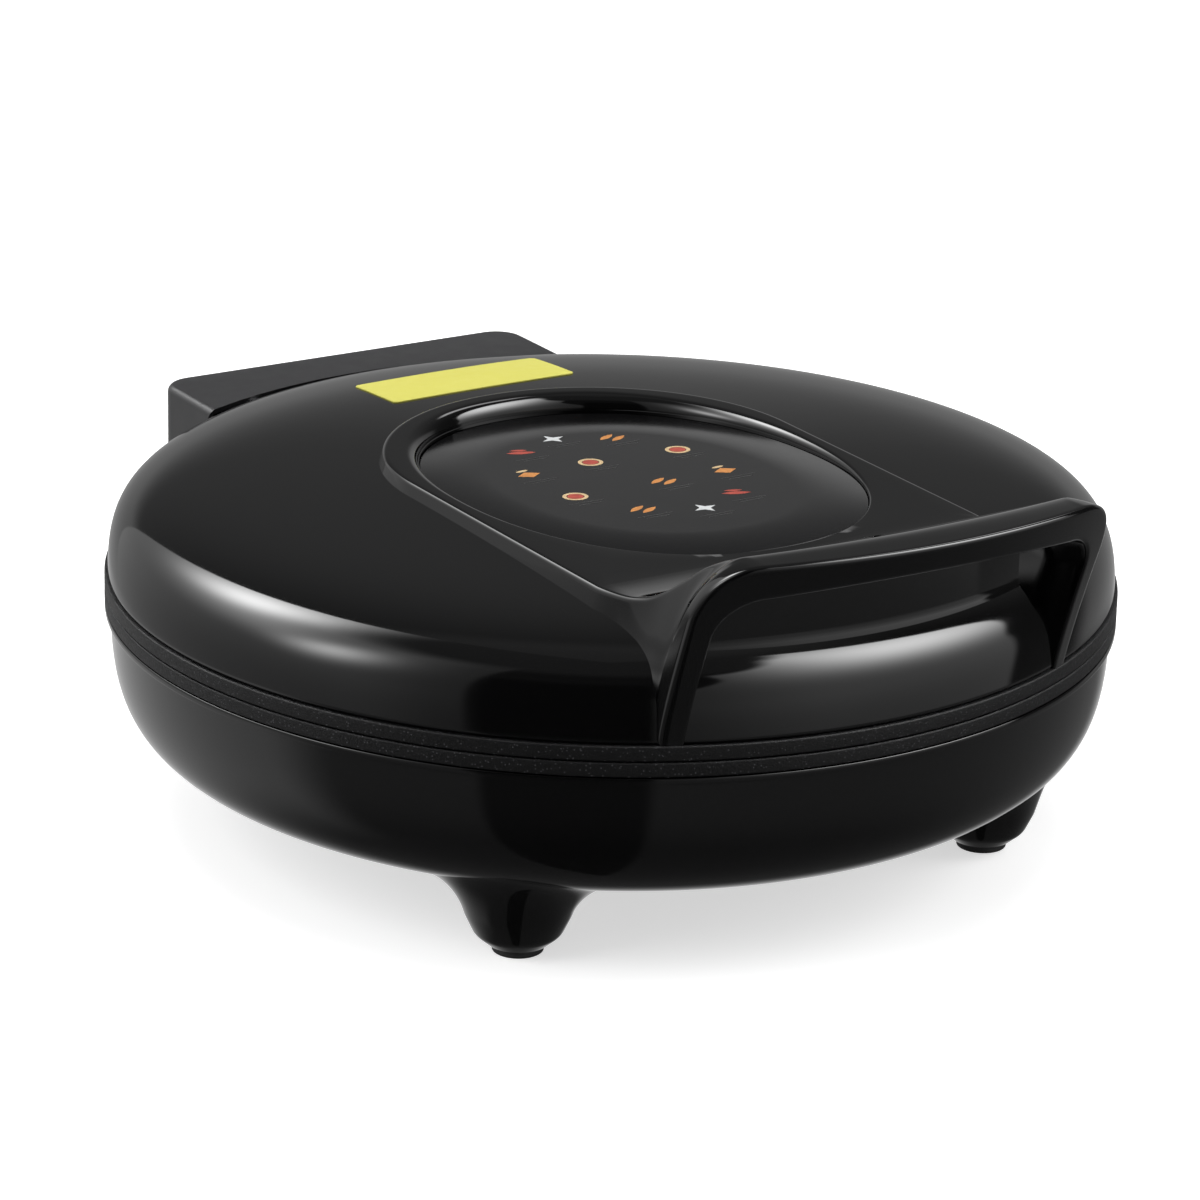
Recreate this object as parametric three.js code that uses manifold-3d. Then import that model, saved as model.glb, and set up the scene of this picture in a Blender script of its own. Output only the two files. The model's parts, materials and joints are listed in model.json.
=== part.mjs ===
// An electric pizza maker: a round base on four feet, a domed lid with a portal handle and an oval
// guide panel, two non-stick plates with their heaters, and a floating hinge in a box at the rear.
// Millimetres, +Z up, the handle towards -Y, the floor at z = 0.
import * as THREE from 'three';
import { mergeVertices } from 'three/addons/utils/BufferGeometryUtils.js';
import Module from 'manifold-3d';

const wasm = await Module();
wasm.setup();

// Driving dimensions
const gap = 0.3; // between pieces that touch
const overrun = 2; // how far a cut runs past the face that it opens
const weld = 0.0001;
const bodyFacets = 64;
const smallFacets = 12;
const footFacets = 16;
const roundFacets = 24;
const discFacets = 40;
const coneFacets = 80;
const ovalPoints = 44;
const slotSteps = 8;
const cornerSteps = 5;
const rodFacets = 8;

const lid = { radius: 170, bottomZ: 87.3, bulgeZ: 45, topZ: 118.7, crownRise: 3.4, crownInset: 20,
  radialPower: 8.97, heightPower: 8.63, wall: 2.8 };
const base = {
  sideInset: 0.9, floorZ: 23.4, rimZ: 76.4, bulgeZ: 100, swellWidth: 109.1, power: 5.08, wall: 2.8,
  lipProud: 0.9, lipHeight: 2.2,
};
const foot = { inset: 39, turnDeg: 44.2, tipZ: 3.2, tipRadius: 10.2, chamferZ: 6.6, chamferRadius: 14.4,
  neckZ: 13.7, neckRadius: 17.6, waistZ: 19, waistRadius: 20.8, rootZ: 37, rootRadius: 26.6, wall: 2.8 };
const pad = { radius: 8.4, stemRadius: 5, stemHeight: 4 };
const plate = { rimProud: 0.9, rimWidth: 10.9, sideWidth: 8, thickness: 3, depth: 9.6, lowerRimTopZ: 81.6,
  seamGap: 0.4 };
const post = { inset: 50, baseRadius: 7, plateRadius: 6, plateLength: 11, bore: 2.4, tipDepth: 2 };
const screw = { shank: 2, headRadius: 3.8, headHeight: 2.4, seatDepth: 3.6 };
const heater = { clear: 26.1, sheath: 3.25, gapDeg: 14, pinDeg: 3, pinRadius: 2.4, pinLength: 15,
  steps: 28 };
const shield = { inset: 34, thickness: 1, centreHole: 20, pinHole: 5, lip: 5 };
const thermostat = { radius: 8, height: 6.5, capRadius: 6, capHeight: 3, tabWidth: 6.3, tabHeight: 7,
  tabThick: 0.8, tabSpread: 3.6 };
const fuse = { radius: 2.2, length: 16, x: 30 };
const block = { width: 34, depth: 16, height: 12, footClear: 5.7, inset: 62, bore: 2 };
const panel = { halfWidth: 66.5, halfLength: 87, centreY: -17.5, z: 121.6, tiltDeg: 2.2, power: 2.15,
  thickness: 1.2 };
const tray = { wall: 3.2, floor: 2.8, slopeShare: 0.94, sillHeight: 2.2 };
const frame = { halfWidth: 73.8, topZ: 124.8, rearCentreY: 7.4, draft: 1.7, skin: 3.6, lap: 1.1 };
const front = { footProud: 1, topProud: 22.5, topZ: 152, power: 1.15 };
const grip = { halfOuter: 77.6, halfTop: 61, topZ: 151.9, bow: 0.9, halfOpening: 70, halfThroat: 64,
  flareDepth: 14, openingZ: 139.6, openingBow: 3.2, openingRound: 14, rootInset: 70, length: 97,
  wallInset: 17, coveSpread: 5.4, coveRise: 8.4, wall: 3 };
const box = { halfWidth: 73.4, reach: 23, topZ: 109.5, corner: 11, wall: 2.5, skirtDrop: 7, edge: 1.6,
  baseClear: 3 };
const hinge = { inset: 8.2, axisZ: 84, pinRadius: 2.5, eye: 2.4, running: 0.25, float: 8, sweep: 0.6,
  bracketInset: 21.4, armInset: 4.2, sheet: 2.5, stemBack: 9, stemFront: 19, headDrop: 3.5, footLength: 12,
  holeInset: 6, endRadius: 4.4, endThick: 1.5 };
const arm = { topRise: 20, reach: 52, shaftFront: 15, tabWidth: 12, tabLength: 10 };
const housing = { bottomZ: 34, wall: 2.5, backInset: 2.8, notch: 0.8 };
const gland = { x: -40, z: 53, neckRadius: 6, flangeRadius: 8.5, flange: 2, tail: 5, bore: 3.4 };
const lidScrew = { x: 38, y: 40, postRadius: 5.5, headHeight: 1.5, headRadius: 3.6 };
const sticker = { width: 73, depth: 25, x: 10.6, inset: 52, turnDeg: 1.5, thickness: 0.4 };
const passage = { baseHalf: 40, baseLowZ: 45, baseHighZ: 64, lidInset: 13.4, lidLowZ: 89.5, lidHighZ: 106 };

const deg = Math.PI / 180;

// Places that follow from the sizes
const baseSide = lid.radius - base.sideInset;
const baseFlat = baseSide - base.swellWidth;
const lipRadius = lid.radius + base.lipProud;
const rimRadius = lid.radius + plate.rimProud;
const rimInner = rimRadius - plate.rimWidth;
const cookRadius = rimInner - plate.sideWidth;
const footX = (lid.radius - foot.inset) * Math.sin(foot.turnDeg * deg);
const footY = (lid.radius - foot.inset) * Math.cos(foot.turnDeg * deg);
const postReach = lid.radius - post.inset;
const ringRadius = Math.hypot(lidScrew.x, lidScrew.y - panel.centreY) + heater.clear;
const shieldRadius = lid.radius - shield.inset;
const backY = lid.radius + box.reach;
const frontFoot = lid.radius + front.footProud;
const frontTop = lid.radius + front.topProud;
const gripRootY = lid.radius - grip.rootInset;
const axisY = backY - hinge.inset;
const bracketX = box.halfWidth - hinge.bracketInset;
const armX = bracketX - hinge.armInset;
const passageHalf = box.halfWidth - passage.lidInset;
const coverLowZ = hinge.axisZ - box.skirtDrop;
const housingTopZ = hinge.axisZ - Math.hypot(hinge.inset, box.skirtDrop) - hinge.sweep;
const housingBackY = backY - housing.backInset;
const lowerRimLowZ = base.rimZ + gap;
const lowerCookZ = plate.lowerRimTopZ - plate.depth;
const lowerUnderZ = lowerCookZ - plate.thickness;
const upperRimLowZ = plate.lowerRimTopZ + plate.seamGap;
const upperRimTopZ = lid.bottomZ - gap;
const upperCookZ = upperRimLowZ + plate.depth;
const upperBackZ = upperCookZ + plate.thickness;
const lowerPostZ = lowerUnderZ - post.plateLength;
const lowerShieldZ = lowerPostZ - gap - shield.thickness;
const eyeRadius = hinge.pinRadius + hinge.running + hinge.eye;
const panelSlope = Math.tan(panel.tiltDeg * deg);

// Profiles
function lidHeight(r, inset = 0) {
  const share = Math.min(1, r / (lid.radius - inset));
  const crown = Math.max(0, 1 - (r / (lid.radius - lid.crownInset)) ** 2) ** 2;
  const arch = (1 - share ** lid.radialPower) ** (1 / lid.heightPower);
  return lid.bulgeZ + (lid.topZ - lid.bulgeZ - inset) * arch + lid.crownRise * crown;
}
function baseRadius(z, inset = 0) {
  const share = Math.min(1, (base.bulgeZ - z) / (base.bulgeZ - base.floorZ - inset));
  const swell = (1 - share ** base.power) ** (1 / base.power);
  return baseFlat + (baseSide - baseFlat - inset) * swell;
}
const panelZ = (y) => panel.z - (y - panel.centreY) * panelSlope;

// Solids
function solid(geometry) {
  for (const name of Object.keys(geometry.attributes)) {
    if (name !== 'position') geometry.deleteAttribute(name);
  }
  const merged = mergeVertices(geometry, weld);
  const index = merged.index.array;
  const kept = [];
  for (let i = 0; i < index.length; i += 3) {
    const [a, b, c] = [index[i], index[i + 1], index[i + 2]];
    if (a !== b && b !== c && c !== a) kept.push(a, b, c);
  }
  const p = merged.attributes.position.array;
  let volume = 0;
  for (let i = 0; i < kept.length; i += 3) {
    const [a, b, c] = [kept[i] * 3, kept[i + 1] * 3, kept[i + 2] * 3];
    volume += p[a] * (p[b + 1] * p[c + 2] - p[b + 2] * p[c + 1])
      + p[a + 1] * (p[b + 2] * p[c] - p[b] * p[c + 2])
      + p[a + 2] * (p[b] * p[c + 1] - p[b + 1] * p[c]);
  }
  if (volume < 0) kept.reverse();
  return new wasm.Manifold(new wasm.Mesh({
    numProp: 3, vertProperties: new Float32Array(p), triVerts: new Uint32Array(kept),
  }));
}
function revolve(profile, facets = bodyFacets) {
  const closed = [...profile];
  const [first, last] = [profile[0], profile[profile.length - 1]];
  if (first[0] !== 0 || last[0] !== 0) closed.push(first);
  const geometry = new THREE.LatheGeometry(closed.map(([r, z]) => new THREE.Vector2(r, z)), facets);
  geometry.rotateX(Math.PI / 2);
  return solid(geometry);
}
function cylinder(radius, lowZ, highZ, x = 0, y = 0, facets = smallFacets) {
  const geometry = new THREE.CylinderGeometry(radius, radius, highZ - lowZ, facets);
  geometry.rotateX(Math.PI / 2);
  geometry.translate(x, y, (lowZ + highZ) / 2);
  return solid(geometry);
}
function cuboid([x0, y0, z0], [x1, y1, z1]) {
  const geometry = new THREE.BoxGeometry(x1 - x0, y1 - y0, z1 - z0);
  geometry.translate((x0 + x1) / 2, (y0 + y1) / 2, (z0 + z1) / 2);
  return solid(geometry);
}
function prism(shape, depth, steps = 6) {
  return new THREE.ExtrudeGeometry(shape, { depth, bevelEnabled: false, curveSegments: steps });
}
// A shape drawn in y and z, as a sheet of the given thickness centred on x
function sheet(shape, thickness, x, steps = 6) {
  const geometry = prism(shape, thickness, steps);
  geometry.translate(0, 0, -thickness / 2);
  geometry.applyMatrix4(new THREE.Matrix4().makeBasis(
    new THREE.Vector3(0, 1, 0), new THREE.Vector3(0, 0, 1), new THREE.Vector3(1, 0, 0)));
  geometry.translate(x, 0, 0);
  return solid(geometry);
}
function outline(points) {
  return new THREE.Shape(points.map(([a, b]) => new THREE.Vector2(a, b)));
}
// A skin through sections of equal point counts, closed at both ends; flat gives the cap's two axes
function loft(sections, flat) {
  const count = sections[0].length;
  const vertices = sections.flat().flat();
  const triangles = [];
  const faces = THREE.ShapeUtils.triangulateShape(
    sections[0].map((p) => new THREE.Vector2(p[flat[0]], p[flat[1]])), []);
  const area = THREE.ShapeUtils.area(sections[0].map((p) => new THREE.Vector2(p[flat[0]], p[flat[1]])));
  const last = (sections.length - 1) * count;
  for (const [a, b, c] of faces) triangles.push(a, c, b, last + a, last + b, last + c);
  for (let s = 0; s + 1 < sections.length; s += 1) {
    for (let i = 0; i < count; i += 1) {
      const [a, b] = [s * count + i, s * count + ((i + 1) % count)];
      const quad = [a, b, b + count, a, b + count, a + count];
      if (area < 0) quad.reverse();
      triangles.push(...quad);
    }
  }
  const geometry = new THREE.BufferGeometry();
  geometry.setAttribute('position', new THREE.Float32BufferAttribute(vertices, 3));
  geometry.setIndex(triangles);
  return solid(geometry);
}
function oval(grow, height, count = ovalPoints) {
  const points = [];
  for (let i = 0; i < count; i += 1) {
    const angle = (i / count) * Math.PI * 2;
    const [c, s] = [Math.cos(angle), Math.sin(angle)];
    const bend = 2 / panel.power;
    const room = typeof grow === 'function' ? grow(panel.centreY + s * panel.halfLength) : grow;
    const x = (panel.halfWidth + room) * Math.sign(c) * Math.abs(c) ** bend;
    const y = panel.centreY + (panel.halfLength + room) * Math.sign(s) * Math.abs(s) ** bend;
    points.push([x, y, height(y)]);
  }
  return points;
}

// Materials
function finish(color, roughness, metalness = 0) {
  return new THREE.MeshStandardMaterial({ color, roughness, metalness });
}
const gloss = finish(0x0b0b0c, 0.15);
const satin = finish(0x121213, 0.5);
const nonStick = finish(0x1b1b1c, 0.65, 0.3);
const printed = finish(0x0c0c0d, 0.2);
const yellow = finish(0xf2e64a, 0.5);
const rubber = finish(0x101010, 0.9);
const steel = finish(0xa8abad, 0.35, 1);
const aluminised = finish(0xc2c4c6, 0.45, 1);
const sheathing = finish(0x5a5c5e, 0.5, 0.9);
const ceramic = finish(0xe6e2d8, 0.6);

const root = new THREE.Group();
function add(name, body, material, parent = root) {
  const { vertProperties, triVerts } = body.getMesh();
  const geometry = new THREE.BufferGeometry();
  geometry.setAttribute('position', new THREE.Float32BufferAttribute(vertProperties, 3));
  geometry.setIndex(Array.from(triVerts));
  const mesh = new THREE.Mesh(geometry, material);
  mesh.name = name;
  parent.add(mesh);
  return mesh;
}

// The shapes that other pieces are cut to
const lidShares = [0, 0.35, 0.6, 0.76, 0.86, 0.92, 0.957, 0.98, 0.996];
const lidInnerShares = [0, 0.45, 0.76, 0.9, 0.96, 0.99];
function lidProfile(shares, inset, grow = 0) {
  const radius = lid.radius - inset;
  return shares.map((s) => [s * radius + (s > 0 ? grow : 0), lidHeight(s * radius, inset) + grow]);
}
function lidBody(skirtRadius, lowZ) {
  const rim = lid.radius + gap;
  return revolve([...lidProfile(lidShares, 0, gap), [rim, lid.bottomZ + gap],
    [skirtRadius, lid.bottomZ + gap], [skirtRadius, lowZ], [0, lowZ]]);
}
const baseShares = [0.35, 0.6, 0.76, 0.87, 0.94, 0.98];
const baseInnerShares = [0.45, 0.75, 0.91, 0.98];
function baseProfile(inset, topZ, shares = baseShares) {
  const flatZ = base.floorZ + inset;
  const points = [[0, flatZ], [baseFlat, flatZ]];
  for (const s of [...shares].reverse()) {
    const z = flatZ + (topZ - flatZ) * (1 - s);
    points.push([baseRadius(z, inset), z]);
  }
  points.push([baseRadius(topZ, inset), topZ]);
  return points;
}

function innerFloor(r) {
  const profile = baseProfile(base.wall, base.rimZ, baseInnerShares);
  const i = profile.findIndex(([radius]) => radius >= r);
  const [[r0, z0], [r1, z1]] = [profile[i - 1], profile[i]];
  return z0 + ((r - r0) / (r1 - r0)) * (z1 - z0);
}

// Base
const corners = [['front_left', -1, -1], ['front_right', 1, -1], ['rear_left', -1, 1],
  ['rear_right', 1, 1]];
const posts = [['left', -1, 0], ['right', 1, 0], ['front', 0, -1], ['rear', 0, 1]];

function footSolid(inset, tipZ) {
  return revolve([[0, tipZ], [foot.tipRadius - inset, tipZ],
    [foot.chamferRadius - inset, tipZ + foot.chamferZ - foot.tipZ], [foot.neckRadius - inset, foot.neckZ],
    [foot.waistRadius - inset, foot.waistZ], [foot.rootRadius - inset, foot.rootZ],
    [0, foot.rootZ]], footFacets);
}
function baseShell() {
  const lipLowZ = base.rimZ - base.lipHeight;
  const outer = [...baseProfile(0, lipLowZ), [lipRadius, lipLowZ], [lipRadius, base.rimZ]];
  const inner = [...baseProfile(base.wall, base.rimZ, baseInnerShares)].reverse();
  let shell = revolve([...outer, ...inner]);
  for (const [, sx, sy] of corners) {
    shell = shell.add(footSolid(0, foot.tipZ).translate([sx * footX, sy * footY, 0]));
  }
  for (const [, sx, sy] of posts) {
    shell = shell.add(cylinder(post.baseRadius, base.floorZ, lowerShieldZ - gap, sx * postReach,
      sy * postReach));
  }
  for (const [, sx, sy] of corners) {
    const hollow = footSolid(foot.wall, foot.tipZ + pad.stemHeight + foot.wall / 2);
    const mouthRadius = foot.rootRadius - foot.wall;
    const mouth = cylinder(mouthRadius, foot.rootZ - weld, foot.rootZ + overrun, 0, 0, footFacets);
    const socket = cylinder(pad.stemRadius + gap, foot.tipZ - overrun, foot.tipZ + pad.stemHeight + gap);
    for (const cut of [hollow, mouth, socket]) {
      shell = shell.subtract(cut.translate([sx * footX, sy * footY, 0]));
    }
  }
  for (const [, sx, sy] of posts) {
    const [x, y] = [sx * postReach, sy * postReach];
    shell = shell.subtract(cylinder(post.bore, base.floorZ - overrun, base.rimZ, x, y));
    const seatZ = base.floorZ + screw.seatDepth;
    shell = shell.subtract(cylinder(screw.headRadius + gap, base.floorZ - overrun, seatZ, x, y));
  }
  return shell.subtract(cuboid([-passage.baseHalf, 0, passage.baseLowZ],
    [passage.baseHalf, backY, passage.baseHighZ]));
}
function footPad() {
  return revolve([[0, 0], [pad.radius, 0], [pad.radius, foot.tipZ - gap], [pad.stemRadius, foot.tipZ - gap],
    [pad.stemRadius, foot.tipZ + pad.stemHeight], [0, foot.tipZ + pad.stemHeight]], smallFacets);
}
function screwSolid(length, headRadius = screw.headRadius, headHeight = screw.headHeight) {
  return revolve([[0, 0], [headRadius, 0], [headRadius, headHeight], [screw.shank, headHeight],
    [screw.shank, headHeight + length], [0, headHeight + length]], smallFacets);
}
function buildBase(parent) {
  add('base_shell', baseShell(), gloss, parent);
  for (const [where, sx, sy] of corners) {
    add(`foot_pad_${where}`, footPad(), rubber, parent).position.set(sx * footX, sy * footY, 0);
  }
  const headZ = base.floorZ + screw.seatDepth - gap - screw.headHeight;
  const tipZ = lowerUnderZ - post.tipDepth - gap;
  for (const [where, sx, sy] of posts) {
    add(`base_screw_${where}`, screwSolid(tipZ - headZ - screw.headHeight), steel, parent)
      .position.set(sx * postReach, sy * postReach, headZ);
  }
}

// Plates, heaters and their controls; the lower set, and the upper set that mirrors it
function plateProfile(rimBackZ, rimFaceZ, cookZ, backZ) {
  const [cookSide, backSide] = [cookRadius, cookRadius - plate.thickness / 2];
  return [[0, backZ], [backSide, backZ], [rimInner, rimBackZ], [rimRadius, rimBackZ],
    [rimRadius, rimFaceZ], [rimInner, rimFaceZ], [cookSide, cookZ], [0, cookZ]];
}
function lowerPlate() {
  let body = revolve(plateProfile(lowerRimLowZ, plate.lowerRimTopZ, lowerCookZ, lowerUnderZ));
  for (const [, sx, sy] of posts) {
    const [x, y] = [sx * postReach, sy * postReach];
    body = body.add(cylinder(post.plateRadius, lowerPostZ, lowerUnderZ + post.tipDepth / 2, x, y));
    body = body.subtract(cylinder(post.bore, lowerPostZ - overrun, lowerUnderZ - post.tipDepth, x, y));
  }
  return body;
}
const lidPosts = corners.map(([where, sx, sy]) => [where, sx * lidScrew.x,
  panel.centreY + sy * lidScrew.y]);
const trayUnder = (y) => panelZ(y) - panel.thickness - gap - tray.floor;
const postTopZ = (y) => trayUnder(y + lidScrew.postRadius) - gap;
const lidScrewLength = (y) => postTopZ(y) - upperBackZ;
function upperPlate() {
  let body = revolve(plateProfile(upperRimTopZ, upperRimLowZ, upperCookZ, upperBackZ));
  for (const [, x, y] of lidPosts) {
    body = body.add(cylinder(lidScrew.postRadius, upperBackZ - plate.thickness / 2, postTopZ(y), x, y));
    const boreZ = upperBackZ - plate.thickness / 4;
    body = body.subtract(cylinder(post.bore, boreZ, postTopZ(y) + overrun, x, y));
  }
  const tabY = axisY - arm.reach + arm.tabLength / 2;
  for (const side of [-1, 1]) {
    const x = side * (armX - arm.tabWidth / 2);
    const boreZ = upperBackZ - plate.thickness * 0.7;
    body = body.subtract(cylinder(post.bore, boreZ, upperBackZ + overrun, x, tabY));
  }
  return body;
}
// The ring's gap is at the rear; pins point along the sign of down
function heaterBody(z, down) {
  const start = Math.PI / 2 + heater.gapDeg * deg;
  const sweep = Math.PI * 2 - 2 * heater.gapDeg * deg;
  const path = new THREE.CatmullRomCurve3(Array.from({ length: heater.steps + 1 }, (_, i) => {
    const angle = start + (sweep * i) / heater.steps;
    return new THREE.Vector3(ringRadius * Math.cos(angle), ringRadius * Math.sin(angle), z);
  }));
  const section = new THREE.Shape();
  section.absarc(0, 0, heater.sheath, 0, Math.PI * 2);
  let body = solid(new THREE.ExtrudeGeometry(section, { steps: heater.steps, extrudePath: path,
    curveSegments: rodFacets / 2, bevelEnabled: false }));
  const pinTurn = heater.pinDeg * deg;
  for (const angle of [start + pinTurn, start + sweep - pinTurn]) {
    const [x, y] = [ringRadius * Math.cos(angle), ringRadius * Math.sin(angle)];
    const far = z + down * heater.pinLength;
    body = body.add(cylinder(heater.pinRadius, Math.min(z, far), Math.max(z, far), x, y));
  }
  return body;
}
function shieldBody(lowZ, lipDirection, holes) {
  const highZ = lowZ + shield.thickness;
  const lipZ = lipDirection > 0 ? highZ + shield.lip : lowZ - shield.lip;
  const lipInner = shieldRadius - shield.thickness;
  const far = lipDirection > 0 ? highZ : lowZ;
  const near = lipDirection > 0 ? lowZ : highZ;
  let body = revolve([[shield.centreHole, near], [shieldRadius, near], [shieldRadius, lipZ],
    [lipInner, lipZ], [lipInner, far], [shield.centreHole, far]], discFacets);
  for (const [x, y, radius] of holes) {
    body = body.subtract(cylinder(radius, lowZ - overrun, highZ + overrun, x, y));
  }
  return body;
}
function heaterPins() {
  const angle = Math.PI / 2 + (heater.gapDeg + heater.pinDeg) * deg;
  return [-1, 1].map((side) => [side * ringRadius * Math.cos(angle), ringRadius * Math.sin(angle),
    shield.pinHole]);
}
function thermostatBody() {
  const seat = thermostat.height + thermostat.capHeight;
  let body = revolve([[0, 0], [thermostat.radius, 0], [thermostat.radius, thermostat.height],
    [thermostat.capRadius, thermostat.height], [thermostat.capRadius, seat], [0, seat]], smallFacets);
  for (const side of [-1, 1]) {
    const x = side * thermostat.tabSpread;
    const [halfThick, halfWidth] = [thermostat.tabThick / 2, thermostat.tabWidth / 2];
    body = body.add(cuboid([x - halfThick, -halfWidth, seat - thermostat.tabThick],
      [x + halfThick, halfWidth, seat + thermostat.tabHeight]));
  }
  return body;
}
function fuseBody() {
  const geometry = new THREE.CapsuleGeometry(fuse.radius, fuse.length, 3, 10);
  return solid(geometry);
}
function blockBody() {
  const [halfWidth, halfDepth] = [block.width / 2, block.depth / 2];
  let body = cuboid([-halfWidth, -halfDepth, 0], [halfWidth, halfDepth, block.height]);
  const pitch = block.width / 3;
  for (const slot of [-1, 0, 1]) {
    body = body.subtract(cylinder(block.bore, block.height / 2, block.height + overrun, slot * pitch));
  }
  return body;
}
function buildLowerWorks(parent) {
  add('lower_plate', lowerPlate(), nonStick, parent);
  const heaterZ = lowerUnderZ - gap - heater.sheath;
  add('lower_heater', heaterBody(heaterZ, -1), sheathing, parent);
  const screwHoles = posts.map(([, sx, sy]) => [sx * postReach, sy * postReach, post.bore]);
  const lowerShield = shieldBody(lowerShieldZ, 1, [...screwHoles, ...heaterPins()]);
  add('lower_heat_shield', lowerShield, aluminised, parent);
  const control = add('lower_thermostat', thermostatBody(), ceramic, parent);
  control.position.set(0, 0, lowerUnderZ - gap);
  control.rotation.x = Math.PI;
  add('thermal_fuse', fuseBody(), ceramic, parent).position.set(fuse.x, 0, lowerUnderZ - gap - fuse.radius);
  const blockY = lid.radius - block.inset;
  const blockX = footX - foot.rootRadius - block.footClear - block.width / 2;
  const reach = Math.hypot(blockX + block.width / 2, blockY + block.depth / 2);
  add('terminal_block', blockBody(), ceramic, parent)
    .position.set(blockX, blockY, innerFloor(reach) + gap);
}
function buildUpperWorks(parent) {
  add('upper_plate', upperPlate(), nonStick, parent);
  const heaterZ = upperBackZ + gap + heater.sheath;
  add('upper_heater', heaterBody(heaterZ, 1), sheathing, parent);
  const shieldZ = heaterZ + heater.sheath + gap;
  const postHoles = lidPosts.map(([, x, y]) => [x, y, lidScrew.postRadius + gap]);
  add('upper_heat_shield', shieldBody(shieldZ, -1, [...postHoles, ...heaterPins()]), aluminised, parent);
  add('upper_thermostat', thermostatBody(), ceramic, parent).position.set(0, 0, upperBackZ + gap);
}

// Lid
function lidShell() {
  const outer = [...lidProfile(lidShares, 0), [lid.radius, lid.bottomZ]];
  const inner = [...lidProfile(lidInnerShares, lid.wall), [lid.radius - lid.wall, lid.bottomZ]].reverse();
  let shell = revolve([...outer, ...inner]);
  const hole = oval(tray.wall + gap, () => lid.topZ - frame.topZ + lid.bottomZ);
  shell = shell.subtract(loft([hole, hole.map(([x, y]) => [x, y, frame.topZ])], [0, 1]));
  return shell.subtract(cuboid([-passageHalf, 0, passage.lidLowZ], [passageHalf, backY, passage.lidHighZ]));
}

// The handle frame's cross sections, from the flat rim to the bar. Each row is in shares: how far
// forward it lies, how far the top edge has drawn in and risen, how far out and how high its side
// ends, and how full the bend between them is.
const stationShares = [
  [-0.412, 0, 0, 0.47, 0.469, 0],
  [0, 0, 0, 0.42, 0.469, 0],
  [0.124, 0.016, 0.007, 0.29, 0.466, 0],
  [0.237, 0.07, 0.048, 0.1, 0.444, 0],
  [0.33, 0.22, 0.129, 0.16, 0.421, 0.05],
  [0.392, 0.375, 0.243, 0.34, 0.382, 0.1],
  [0.469, 0.53, 0.443, 0.74, 0.305, 0.15],
  [0.546, 0.69, 0.657, 0.97, 0.26, 0.2],
  [0.629, 0.844, 0.827, 1, 0.382, 0.3],
  [0.701, 0.94, 0.934, 1, 0.537, 0.5],
  [0.763, 1, 0.993, 1, 0.661, 0.7],
  [1, 1, 1, 1, 0.661, 0.75],
];
const between = (from, to, share) => from + share * (to - from);
const stations = stationShares.map(([reach, drawn, risen, out, height, full]) => ({
  y: -(gripRootY + reach * grip.length),
  top: [between(frame.halfWidth, grip.halfTop, drawn), between(frame.topZ, grip.topZ, risen)],
  side: [between(frame.halfWidth, grip.halfOuter, out), between(lid.bottomZ, grip.topZ, height)],
  full,
}));
function gripSection({ y, top, side, full }) {
  const rise = (top[1] - frame.topZ) / (grip.topZ - frame.topZ);
  const points = [];
  for (const share of [-1, -0.6, -0.2, 0.2, 0.6, 1]) {
    points.push([share * top[0], y, top[1] + grip.bow * Math.max(0, rise) * (1 - share ** 2)]);
  }
  const middle = [(top[0] + side[0]) / 2, (top[1] + side[1]) / 2];
  const knee = [middle[0] + (side[0] - middle[0]) * full, middle[1] + (top[1] - middle[1]) * full];
  const bend = new THREE.QuadraticBezierCurve(new THREE.Vector2(...top), new THREE.Vector2(...knee),
    new THREE.Vector2(...side));
  const right = bend.getPoints(4).slice(1).map((p) => [p.x, y, p.y]);
  right.push([grip.halfOuter, y, lid.bottomZ]);
  const left = right.map(([x, , z]) => [-x, y, z]).reverse();
  return [...points, ...right, ...left];
}
function frontRadius(z) {
  const share = Math.max(0, (z - lid.bottomZ) / (front.topZ - lid.bottomZ));
  return frontFoot + (frontTop - frontFoot) * share ** front.power;
}
function frontCone() {
  const heights = [0, 0.35, 0.7, 1.1].map((s) => lid.bottomZ + s * (front.topZ - lid.bottomZ));
  const points = heights.map((z) => [frontRadius(z), z]);
  return revolve([[0, lid.bottomZ], ...points, [0, heights[heights.length - 1]]], coneFacets);
}
function rimPlan(grow, z) {
  const radius = frame.halfWidth + grow;
  const points = [[radius, stations[1].y, z]];
  const steps = 20;
  for (let i = 0; i <= steps; i += 1) {
    const angle = (Math.PI * i) / steps;
    points.push([radius * Math.cos(angle), frame.rearCentreY + radius * Math.sin(angle), z]);
  }
  points.push([-radius, stations[1].y, z]);
  return points;
}
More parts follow.
